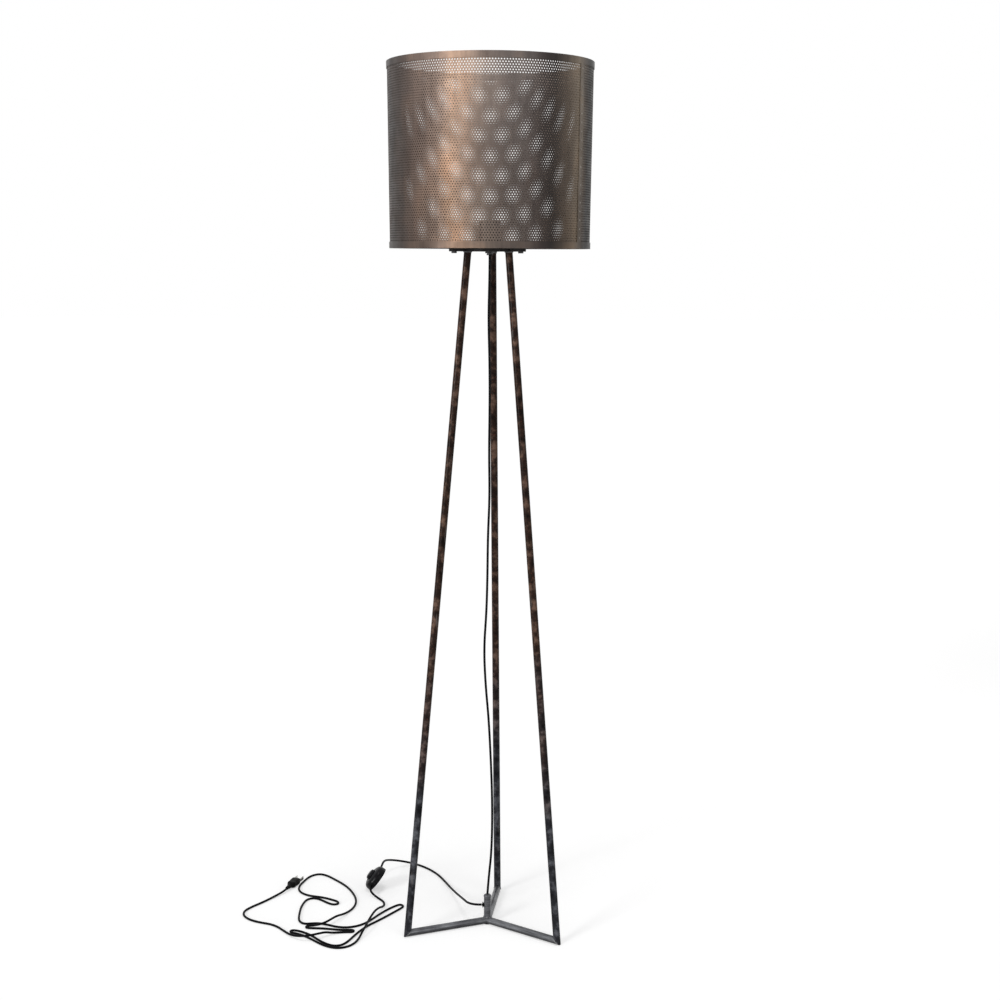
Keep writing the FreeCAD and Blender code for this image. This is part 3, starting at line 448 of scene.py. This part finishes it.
def perforated_panel(number):
    """One panel of the skin: staggered round holes through the sheet's full thickness.

    The sheet is a grid of half steps; each hole is joined to the eight grid points round it."""
    columns = COLUMNS // PANELS
    first = number * columns
    row_step = (SHADE_HEIGHT - 2 * BAND) / HOLE_ROWS
    angle_step = 2 * math.pi / COLUMNS
    across = [1, 1, 0, -1, -1, -1, 0, 1]
    upward = [0, 1, 1, 1, 0, -1, -1, -1]
    wide = 2 * columns + 2
    tall = 2 * HOLE_ROWS + 1

    half_columns, half_rows = np.meshgrid(np.arange(wide), np.arange(tall), indexing="ij")
    turns = (2 * first - 1 + half_columns.ravel()) * angle_step / 2
    rises = BAND + half_rows.ravel() * row_step / 2
    grid = np.stack([turns, rises], axis=1)

    centres = [(first + column + 0.5 * (row % 2), row, 2 * column + 1 + row % 2)
               for row in range(HOLE_ROWS) for column in range(columns)]
    holes = []
    for along, row, _ in centres:
        rise = BAND + (row + 0.5) * row_step
        radius = shade_radius(rise)
        for corner in range(HOLE_CORNERS):
            turn = math.pi / 4 * corner
            holes.append((along * angle_step + HOLE_RADIUS * math.cos(turn) / radius,
                          rise + HOLE_RADIUS * math.sin(turn)))
    flat = np.concatenate([grid, np.array(holes)])

    def skin(inset):
        radius = shade_radius(flat[:, 1]) - inset
        return np.stack([radius * np.cos(flat[:, 0]), radius * np.sin(flat[:, 0]),
                         SHADE_BOTTOM + flat[:, 1]], axis=1)

    points = np.concatenate([skin(0), skin(SHEET)])
    inner = len(flat)
    base = len(grid)
    faces = []
    for index, (_, row, middle) in enumerate(centres):
        rim = [(middle + aside) * tall + 2 * row + 1 + above
               for aside, above in zip(across, upward)]
        hole = [base + HOLE_CORNERS * index + corner for corner in range(HOLE_CORNERS)]
        for this in range(HOLE_CORNERS):
            after = (this + 1) % HOLE_CORNERS
            faces.append((rim[this], rim[after], hole[after], hole[this]))
            faces.append((inner + rim[after], inner + rim[this],
                          inner + hole[this], inner + hole[after]))
            faces.append((hole[this], hole[after], inner + hole[after], inner + hole[this]))
    used = np.unique(np.array(faces))
    renumber = np.full(len(points), -1)
    renumber[used] = np.arange(len(used))
    new_piece(f"shade_mesh_{number + 1}", points[used], renumber[np.array(faces)],
              "shade_steel", replaces=("shade_skin",), smooth=False)


def plain_margin(name, low, high):
    """The unperforated edge of the skin behind a band."""
    corners = [(shade_radius(low) - SHEET, SHADE_BOTTOM + low),
               (shade_radius(low), SHADE_BOTTOM + low),
               (shade_radius(high), SHADE_BOTTOM + high),
               (shade_radius(high) - SHEET, SHADE_BOTTOM + high)]
    points, faces = lathe(corners, COLUMNS)
    new_piece(name, points, faces, "band_steel", replaces=("shade_skin",), smooth=False)


def make_shade():
    for number in range(PANELS):
        perforated_panel(number)
    plain_margin("shade_margin_low", 0.0, BAND)
    plain_margin("shade_margin_high", SHADE_HEIGHT - BAND, SHADE_HEIGHT)


make_shade()


# ------------------------------------------------------------------ lampholder thread
THREAD_PITCH = 3.63 * MM
THREAD_WALL = 0.45 * MM
THREAD_DEPTH = 0.75 * MM
THREAD_LEAD_IN = 2 * MM
THREAD_LEAD_OUT = 1.5 * MM


def make_screw_shell():
    """The rolled brass thread that takes the bulb's base."""
    low, high = low_high("screw_shell")
    radius = high.x
    rows = 84
    sides = 64
    points = []
    for depth in (0.0, THREAD_WALL):
        for row in range(rows + 1):
            rise = (high.z - low.z) * row / rows
            for step in range(sides):
                turn = step / sides
                wave = 0.5 + 0.5 * math.cos(2 * math.pi * (rise / THREAD_PITCH - turn))
                fade = min(1.0, rise / THREAD_LEAD_IN,
                           (high.z - low.z - rise) / THREAD_LEAD_OUT)
                size = radius - depth - THREAD_DEPTH * wave * fade
                points.append((size * math.cos(2 * math.pi * turn),
                               size * math.sin(2 * math.pi * turn), low.z + rise))
    faces = []
    inner = (rows + 1) * sides
    for row in range(rows):
        for step in range(sides):
            after = (step + 1) % sides
            a, b = row * sides + step, row * sides + after
            c, d = b + sides, a + sides
            faces.append((a, b, c, d))
            faces.append((inner + b, inner + a, inner + d, inner + c))
    for step in range(sides):
        after = (step + 1) % sides
        top = rows * sides
        faces.append((top + step, top + after, inner + top + after, inner + top + step))
        faces.append((after, step, inner + step, inner + after))
    new_piece("socket_thread", points, faces, "brass", replaces=("screw_shell",))


make_screw_shell()


# ------------------------------------------------------------------ welds
FOOT_RADIUS = 157.0 * MM
LEG_TOP_RADIUS = 41.5 * MM
BACK_LEG_AZIMUTH = 83.3
LEG_AZIMUTHS = [math.radians(BACK_LEG_AZIMUTH + 120 * index) for index in range(3)]
PLATE_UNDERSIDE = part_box("top_plate")[0][2]
LEG_TILT = math.atan((FOOT_RADIUS - LEG_TOP_RADIUS) / (PLATE_UNDERSIDE - TUBE_RADIUS))
BEAD = 1.3 * MM
BEAD_INTO_PLATE = 0.4 * MM
# a foot's bead is drawn in by these shares of its radius, so that none reaches below the floor
FOOT_BEAD_ENDS_IN = 0.7
FOOT_BEAD_SIDES_IN = 0.35
FOOT_BEAD_RAISED = 0.42
# a bead's mean radius, its ripples and its unevenness, as shares of BEAD
BEAD_MEAN = 0.92
BEAD_RIPPLE = 0.16
BEAD_UNEVEN = 0.06
BEAD_SIDES = 10
RIPPLE_STEPS = 5
FOOT_RIPPLES = 26
RING_RIPPLES = 22


def rippled_ring(middle, across, along, wide, long, waves, seed):
    """A closed weld bead on an ellipse with two half axes, with the ripples of its pool."""
    steps = waves * RIPPLE_STEPS
    chance = np.random.default_rng(seed)
    uneven = chance.uniform(-BEAD_UNEVEN, BEAD_UNEVEN, steps)
    path = []
    for step in range(steps):
        turn = 2 * math.pi * step / steps
        path.append(middle + across * math.cos(turn) * wide + along * math.sin(turn) * long)
    radii = [BEAD * (BEAD_MEAN + BEAD_RIPPLE * math.sin(2 * math.pi * step / RIPPLE_STEPS)
                     + uneven[step]) for step in range(steps)]
    return closed_tube(path, radii, BEAD_SIDES)


def joined(parts):
    """Several lists of points and faces as one."""
    points, faces = [], []
    for more_points, more_faces in parts:
        start = len(points)
        points.extend(more_points)
        faces.extend(tuple(start + corner for corner in face) for face in more_faces)
    return points, faces


def make_welds():
    """Beads at the mitred feet, under the plate and where the post meets the base.

    The mitre's plane runs outward and down, by slant below the level."""
    feet, tops = [], []
    slant = math.radians(45) - LEG_TILT / 2
    for index, azimuth in enumerate(LEG_AZIMUTHS):
        outward = Vector((math.cos(azimuth), math.sin(azimuth), 0))
        sideways = Vector((-math.sin(azimuth), math.cos(azimuth), 0))
        corner = outward * FOOT_RADIUS + Vector((0, 0, TUBE_RADIUS))
        mitre = outward * math.cos(slant) - Vector((0, 0, math.sin(slant)))
        long_half = TUBE_RADIUS / math.cos(slant) - BEAD * FOOT_BEAD_ENDS_IN
        feet.append(rippled_ring(corner - mitre * BEAD * FOOT_BEAD_RAISED, sideways, mitre,
                                 TUBE_RADIUS - BEAD * FOOT_BEAD_SIDES_IN, long_half,
                                 FOOT_RIPPLES, index))
        top = outward * LEG_TOP_RADIUS + Vector((0, 0, PLATE_UNDERSIDE - BEAD_INTO_PLATE))
        tops.append(rippled_ring(top, outward, sideways, TUBE_RADIUS, TUBE_RADIUS,
                                 RING_RIPPLES, 10 + index))
    new_piece("foot_weld_beads", *joined(feet), "weld_steel", replaces=("foot_welds",))
    new_piece("leg_top_weld_beads", *joined(tops), "weld_steel", replaces=("leg_top_welds",))
    hub = rippled_ring(Vector((0, 0, 2 * TUBE_RADIUS)), Vector((1, 0, 0)), Vector((0, 1, 0)),
                       TUBE_RADIUS, TUBE_RADIUS, RING_RIPPLES, 20)
    new_piece("hub_weld_bead", *hub, "weld_steel", replaces=("hub_weld",))


make_welds()


# ------------------------------------------------------------------ post cap and grommet
CAP_LIP = 0.7 * MM
CAP_SPIGOT = 3.0 * MM
CAP_EDGE = 3.6 * MM
CAP_CROWN = 5.0 * MM
POST_WALL = 1.6 * MM
GROMMET_NECK = 3.95 * MM
GROMMET_LIP = 1.4 * MM


def make_post_fittings():
    """The domed cap on the post, and the grommet where the cord leaves its side."""
    rim = TUBE_RADIUS + CAP_LIP
    bore = TUBE_RADIUS - POST_WALL
    low = POST_TOP - CAP_SPIGOT
    profile = rounded_profile(
        [(CORD_BORE, low), (bore, low), (bore, POST_TOP), (rim, POST_TOP),
         (rim, POST_TOP + CAP_EDGE), (CORD_BORE, POST_TOP + CAP_CROWN)],
        [0, 0, 0, 0.3 * MM, 2.6 * MM, 0.4 * MM], 6)
    points, faces = lathe(profile, 48)
    new_piece("post_dome_cap", points, faces, "bar_steel", replaces=("post_cap",))

    low_corner, high_corner = low_high("post_grommet")
    middle = (low_corner.z + high_corner.z) / 2
    place = Matrix.Translation((high_corner.x, 0, middle)) @ Matrix.Rotation(-math.pi / 2, 4, "Y")
    long = high_corner.x - low_corner.x
    wide = (high_corner.z - low_corner.z) / 2
    neck = long - GROMMET_LIP
    profile = rounded_profile(
        [(CORD_BORE, 0), (GROMMET_NECK, 0), (GROMMET_NECK, neck), (wide, neck),
         (wide, long), (CORD_BORE, long)], [0, 0, 0, 0.5 * MM, 0.6 * MM, 0.5 * MM], 5)
    points, faces = lathe(profile, 40, place)
    new_piece("post_side_grommet", points, faces, "black_rubber", replaces=("post_grommet",))


make_post_fittings()


# ------------------------------------------------------------------ foot switch, in mm
SWITCH_SPOT = Vector((-215.0, 163.0, 19.8))
SWITCH_LEAN = math.radians(51.5)
SWITCH_RADIUS = 25.0
SWITCH_CORD_HEIGHT = 5.5
SWITCH_PLACE = Matrix.Translation(SWITCH_SPOT * MM) @ Matrix.Rotation(-SWITCH_LEAN, 4, "Y")

# sections as (radius, height, rounding), from the inside of the lower edge outward and up
COVER_SECTION = [
    (23.0, 3.0, 0.3), (SWITCH_RADIUS, 3.0, 0.4), (SWITCH_RADIUS, 4.6, 0.1),
    # the seam line
    (24.5, 4.9, 0), (24.8, 5.2, 0.1), (24.7, 8.2, 1.6), (22.2, 13.2, 2.6),
    # the raised collar round the button
    (16.2, 15.95, 1.4), (13.2, 16.0, 0.3), (12.6, 15.2, 0.1), (10.7, 15.2, 0.2),
    (10.7, 14.0, 0.2), (16.0, 14.0, 1.0), (23.0, 7.0, 1.0)]
BUTTON_SECTION = [
    (8.4, 12.1, 0), (12.7, 12.1, 0.3), (12.7, 13.65, 0.3), (10.4, 13.7, 0.2),
    (10.4, 19.6, 1.0), (8.9, 21.1, 0.5),
    # two ridges on the top
    (8.3, 20.7, 0.15), (7.7, 21.4, 0.2), (6.4, 21.6, 0.2), (5.9, 21.2, 0.15),
    (5.4, 21.8, 0.2), (2.8, 21.95, 0.5), (0.05, 21.98, 0), (0.05, 17.6, 0), (8.4, 17.6, 0.3)]


def make_switch():
    """Domed cover with a seam line, and a ridged push button, on the disc's own axis."""
    points, faces = lathe(section(COVER_SECTION, 5), 72, SWITCH_PLACE)
    cover = new_piece("foot_switch_cover", points, faces, "black_plastic",
                      replaces=("switch_cover",))
    points, faces = lathe(section(BUTTON_SECTION, 4), 60, SWITCH_PLACE)
    new_piece("foot_switch_button", points, faces, "button_plastic",
              replaces=("switch_button",), body=BUTTON)
    return cover


cover_piece = make_switch()


# ------------------------------------------------------------------ plug, in mm
PLUG_HEADING = math.radians(72.0)
PLUG_REAR = Vector((-391.0, 151.0, 6.25))
PLUG_PLACE = Matrix.Translation(PLUG_REAR * MM) @ Matrix.Rotation(PLUG_HEADING, 4, "Z")
PLUG_SIDES = 40
RELIEF_RINGS = 15
RELIEF_STEP = 1.15
RELIEF_START = 3.3
RELIEF_GROWTH = 1.5
RELIEF_GROOVE = 0.45
# rings of the body as (along, half width, half height, squareness)
PLUG_BODY = [
    (16.6, 5.6, 5.1, 2.6), (18.0, 7.4, 5.7, 3.2), (20.0, 8.2, 6.1, 3.8), (23.0, 8.4, 6.2, 4.2),
    # the finger grooves
    (25.5, 7.9, 5.9, 4.0), (28.0, 7.9, 5.9, 4.0),
    (30.0, 8.4, 6.2, 4.4), (41.8, 8.45, 6.22, 4.8), (43.4, 8.1, 5.9, 4.8), (43.95, 7.4, 5.3, 4.6)]


def plug_ring(along, half_wide, half_high, power):
    """A rounded-square ring across the plug's length, in metres; a power of 2 is an ellipse."""
    ring = []
    for step in range(PLUG_SIDES):
        turn = 2 * math.pi * step / PLUG_SIDES
        cosine, sine = math.cos(turn), math.sin(turn)
        wide = half_wide * math.copysign(abs(cosine) ** (2 / power), cosine)
        high = half_high * math.copysign(abs(sine) ** (2 / power), sine)
        ring.append(PLUG_PLACE @ Vector((along, wide, high)))
    return ring


def make_plug():
    """A moulded plug: ribbed relief, shouldered body with finger grooves, flat face."""
    rings = []
    for step in range(RELIEF_RINGS):
        groove = RELIEF_GROOVE * MM if step % 4 in (1, 2) else 0.0
        size = (RELIEF_START + RELIEF_GROWTH * step / (RELIEF_RINGS - 1)) * MM - groove
        rings.append((step * RELIEF_STEP * MM, size, size, 2.0))
    for along, wide, high, power in PLUG_BODY:
        rings.append((along * MM, wide * MM, high * MM, power))
    points = [spot for ring in rings for spot in plug_ring(*ring)]
    faces = []
    for row in range(0, (len(rings) - 1) * PLUG_SIDES, PLUG_SIDES):
        for step in range(PLUG_SIDES):
            after = (step + 1) % PLUG_SIDES
            faces.append((row + step, row + after,
                          row + PLUG_SIDES + after, row + PLUG_SIDES + step))
    faces.append(tuple(range(PLUG_SIDES))[::-1])
    last = (len(rings) - 1) * PLUG_SIDES
    faces.append(tuple(range(last, last + PLUG_SIDES)))
    return new_piece("plug_moulding", points, faces, "black_rubber", replaces=("plug_body",))


plug_piece = make_plug()


# ------------------------------------------------------------------ cords, in mm
# the height of a cord's centre on the floor, and where it lies over two strands
FLOOR = CORD / 2 / MM
OVER = FLOOR + 2.1 * CORD / MM
PORT_TURN = math.radians(65.0)
PORT_REACH = 2.2 * CORD / MM
PLUG_REACH = 2.6 * CORD / MM
PLUG_RISE = 0.1


def switch_port(side):
    """Where a cord meets the switch's rim, and a point further out along the same line."""
    upward = Vector((math.cos(SWITCH_LEAN), 0, math.sin(SWITCH_LEAN)))
    outward = upward * math.cos(PORT_TURN) * side + Vector((0, math.sin(PORT_TURN) * side, 0))
    axis = Vector((-math.sin(SWITCH_LEAN), 0, math.cos(SWITCH_LEAN)))
    rim = SWITCH_SPOT + axis * SWITCH_CORD_HEIGHT + outward * SWITCH_RADIUS
    return rim, rim + outward * PORT_REACH


# the cord comes up to the plug's rear from just behind and below it
PLUG_BEHIND = PLUG_REAR - Vector((math.cos(PLUG_HEADING), math.sin(PLUG_HEADING),
                                  PLUG_RISE)) * PLUG_REACH

RISER_ROUTE = [
    (0, 0, 1225.75), (0, 0.5, 1190), (-2, 2, 1115), (0.5, 3, 1040), (1, 1, 960), (0, -1, 880),
    (1.5, -2, 800), (-1.5, -2, 728), (-2, 0, 656), (-3.5, 1, 590), (-8, 2, 522), (-5, 2, 456),
    (1, 1, 392), (4.5, -1, 330), (7.5, -3, 262), (8.5, -3, 196), (7, -2, 136), (2.5, -0.5, 92),
    (0, 0, 57)]

SWITCH_LEAD_ROUTE = [
    (-11, 0, 36), (-24, 0, 36), (-37, 16, 33), (-46, 50, 27), (-58, 98, 17),
    (-71, 149, 8), (-84, 197, 2.6), (-101, 240, FLOOR), (-124, 274, FLOOR), (-150, 293, 4),
    (-178, 287, 12), (-199, 263, 23), (-208, 232, 33), *reversed(switch_port(1))]

PLUG_LEAD_ROUTE = [
    *switch_port(-1), (-221, 122, 6), (-209, 110, 2.6), (-200, 98, FLOOR), (-196, 82, FLOOR),
    # long hump over both arms of the hairpin
    (-199, 66, 4), (-204, 50, 9), (-210, 32, OVER), (-215, 8, OVER + 0.3), (-219, -16, OVER),
    (-222, -40, OVER - 0.2), (-226, -58, 9), (-231, -78, 3),
    # round the front to the first fold and back beside itself
    (-237, -98, FLOOR), (-249, -115, FLOOR), (-267, -121, FLOOR), (-285, -114, FLOOR),
    (-301, -100, FLOOR), (-315, -84, FLOOR), (-329, -69, FLOOR), (-344, -58, FLOOR),
    (-360, -51, FLOOR), (-358, -41, FLOOR), (-345, -44, FLOOR), (-331, -54, FLOOR),
    (-317, -67, FLOOR), (-305, -84, FLOOR), (-291, -100, FLOOR), (-275, -111, FLOOR),
    (-260, -108, FLOOR), (-250, -91, FLOOR), (-242, -67, FLOOR), (-232, -42, FLOOR),
    (-220, -19, FLOOR), (-206, 0, FLOOR), (-190, 23, FLOOR), (-176, 45, FLOOR),
    # hairpin at the right, then left across the front
    (-165, 62, FLOOR), (-159, 74, FLOOR), (-166, 83, FLOOR), (-175, 76, FLOOR),
    (-188, 59, FLOOR), (-202, 36, FLOOR), (-214, 12, FLOOR), (-225, -8, FLOOR),
    (-241, -23, FLOOR), (-261, -29, FLOOR), (-279, -25, FLOOR), (-296, -15, FLOOR),
    (-311, -9, FLOOR), (-324, -10, FLOOR), (-339, -13, FLOOR), (-349, 0, FLOOR),
    (-352, 19, FLOOR), (-353, 42, FLOOR), (-353.5, 65, FLOOR), (-351, 88, FLOOR),
    (-347, 104, FLOOR), (-338, 112, FLOOR), (-326, 109.5, FLOOR),
    # second fold, a narrow eye
    (-315, 99, FLOOR), (-305, 88, FLOOR), (-294, 80, FLOOR), (-284, 84, FLOOR),
    (-286, 95, FLOOR), (-298, 104, FLOOR), (-312, 113, FLOOR), (-326, 118.5, FLOOR),
    (-340, 122.5, FLOOR), (-352, 129, FLOOR),
    # the large loop beside the plug
    (-363, 141, FLOOR), (-369, 157, FLOOR), (-369, 176, FLOOR), (-364, 196, FLOOR),
    (-359, 214, FLOOR), (-351, 230, FLOOR), (-336, 239, FLOOR), (-320, 229, FLOOR),
    (-306, 212, FLOOR), (-290, 192, FLOOR), (-274, 168, FLOOR), (-261, 138, FLOOR),
    (-253, 110, FLOOR), (-251, 84, FLOOR), (-255, 61, FLOOR), (-262, 44, 2.6),
    (-270, 28, 4.5), (-279, 10, 9),
    # over the other strand, then the third and fourth folds
    (-286, -6, OVER), (-294, -21, OVER), (-306, -26, 7.5), (-319, -21.5, 3), (-333, -21, FLOOR),
    (-333, -31, FLOOR), (-320, -32, FLOOR), (-303, -33, FLOOR), (-286, -36, FLOOR),
    (-270, -39.5, FLOOR), (-256, -39.3, FLOOR), (-244, -39, FLOOR), (-244, -49, FLOOR),
    (-256, -49, FLOOR), (-271, -51, FLOOR), (-283, -57, 4), (-293, -66, 9),
    # over both strands of the first fold, far left and back to the plug
    (-303, -76, OVER), (-320, -86, OVER), (-335, -83, 8.5), (-348, -74, 5), (-361, -60, 2.6),
    (-373, -43, FLOOR), (-385, -27, FLOOR), (-399, -15, FLOOR), (-415, -9, FLOOR),
    (-432, -1, FLOOR), (-447, 11, FLOOR), (-457, 28, FLOOR), (-458, 47, FLOOR),
    (-448, 66, FLOOR), (-434, 84, FLOOR), (-421, 103, FLOOR), (-408, 122, 3),
    PLUG_BEHIND, PLUG_REAR]


def make_cord(name, route, node):
    """A round cord as one smooth open spline over its route."""
    curve = bpy.data.curves.new(name, "CURVE")
    curve.dimensions = "3D"
    curve.bevel_depth = CORD / 2
    curve.bevel_resolution = 4
    curve.resolution_u = 8
    curve.use_fill_caps = True
    spline = curve.splines.new("NURBS")
    spline.points.add(len(route) - 1)
    for point, spot in zip(spline.points, route):
        point.co = (*(Vector(spot) * MM), 1)
    spline.order_u = 3
    spline.use_endpoint_u = True
    curve.materials.append(MATERIALS["cord_black"])
    item = bpy.data.objects.new(name, curve)
    bpy.context.scene.collection.objects.link(item)
    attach(item, LAMP)
    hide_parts(node)
    return item


riser = make_cord("riser_flex", RISER_ROUTE, "riser_cord")
switch_flex = make_cord("switch_flex", SWITCH_LEAD_ROUTE, "switch_lead")
plug_flex = make_cord("plug_flex", PLUG_LEAD_ROUTE, "plug_lead")


# ------------------------------------------------------------------ stage, light and camera
FLOOR_SIZE = 60
FLOOR_DROP = 0.2 * MM
FLOOR_COLOUR = (0.70, 0.70, 0.70, 1)
FLOOR_GLOW = 0.48
WORLD_STRENGTH = 0.35


def seen_by(tree, *rays):
    """A level that is 1 for these kinds of ray, and 0 for the light that falls on the lamp."""
    path = tree.nodes.new("ShaderNodeLightPath")
    level = path.outputs[rays[0]]
    for ray in rays[1:]:
        either = tree.nodes.new("ShaderNodeMath")
        either.operation = "MAXIMUM"
        tree.links.new(level, either.inputs[0])
        tree.links.new(path.outputs[ray], either.inputs[1])
        level = either.outputs[0]
    return level


def make_floor():
    """A plain pale floor that runs out past the view; it stays white and keeps soft shadows."""
    bpy.ops.mesh.primitive_plane_add(size=FLOOR_SIZE, location=(0, 0, -FLOOR_DROP))
    floor = bpy.context.object
    floor.name = "floor"
    material = bpy.data.materials.new("pale_floor")
    material.use_nodes = True
    tree = material.node_tree
    tree.nodes.clear()
    output = tree.nodes.new("ShaderNodeOutputMaterial")
    diffuse = tree.nodes.new("ShaderNodeBsdfDiffuse")
    diffuse.inputs["Color"].default_value = FLOOR_COLOUR
    glow = tree.nodes.new("ShaderNodeEmission")
    level = tree.nodes.new("ShaderNodeMath")
    level.operation = "MULTIPLY"
    level.inputs[1].default_value = FLOOR_GLOW
    both = tree.nodes.new("ShaderNodeAddShader")
    seen = seen_by(tree, "Is Camera Ray", "Is Glossy Ray", "Is Transmission Ray")
    tree.links.new(seen, level.inputs[0])
    tree.links.new(level.outputs[0], glow.inputs["Strength"])
    tree.links.new(diffuse.outputs[0], both.inputs[0])
    tree.links.new(glow.outputs[0], both.inputs[1])
    tree.links.new(both.outputs[0], output.inputs["Surface"])
    floor.data.materials.append(material)


def make_world():
    """Soft light all round, and plain white where the camera or a mirror sees it."""
    world = bpy.data.worlds.new("studio")
    bpy.context.scene.world = world
    world.use_nodes = True
    tree = world.node_tree
    back = tree.nodes["Background"]
    back.inputs["Color"].default_value = (1, 1, 1, 1)
    level = tree.nodes.new("ShaderNodeMapRange")
    level.inputs["To Min"].default_value = WORLD_STRENGTH
    level.inputs["To Max"].default_value = 1.0
    seen = seen_by(tree, "Is Camera Ray", "Is Glossy Ray", "Is Transmission Ray")
    tree.links.new(seen, level.inputs["Value"])
    tree.links.new(level.outputs[0], back.inputs["Strength"])


def sun(name, azimuth, height, strength, spread):
    """A distant light; azimuth in degrees to the right of the camera, height above the floor."""
    light = bpy.data.lights.new(name, "SUN")
    light.energy = strength
    light.angle = math.radians(spread)
    item = bpy.data.objects.new(name, light)
    aside, up = math.radians(azimuth), math.radians(height)
    source = Vector((math.sin(aside) * math.cos(up), -math.cos(aside) * math.cos(up),
                     math.sin(up)))
    item.rotation_euler = source.to_track_quat("Z", "Y").to_euler()
    bpy.context.scene.collection.objects.link(item)


CAMERA_SPOT = (0.0199, -2.932, 1.2227)
CAMERA_TIP = 0.1454
CAMERA_ROLL = 0.0046
SENSOR_WIDTH = 36.0
FOCAL_LENGTH = 59.74
CLIP_END = 200


def make_camera():
    """The photograph's viewpoint: at the height of the shade's lower edge, tipped down."""
    camera = bpy.data.cameras.new("camera")
    camera.sensor_width = SENSOR_WIDTH
    camera.lens = FOCAL_LENGTH
    camera.clip_end = CLIP_END
    item = bpy.data.objects.new("camera", camera)
    tip = Matrix.Rotation(math.pi / 2 - CAMERA_TIP, 4, "X")
    roll = Matrix.Rotation(CAMERA_ROLL, 4, "Z")
    item.matrix_world = Matrix.Translation(CAMERA_SPOT) @ tip @ roll
    bpy.context.scene.collection.objects.link(item)
    bpy.context.scene.camera = item


make_floor()
make_world()
sun("key", -38, 25, 1.1, 14)
sun("low_key", -48, 2, 1.7, 16)
sun("fill", 40, 20, 0.3, 30)
sun("top", 20, 80, 0.7, 20)
make_camera()
bpy.context.scene.view_settings.view_transform = "Standard"
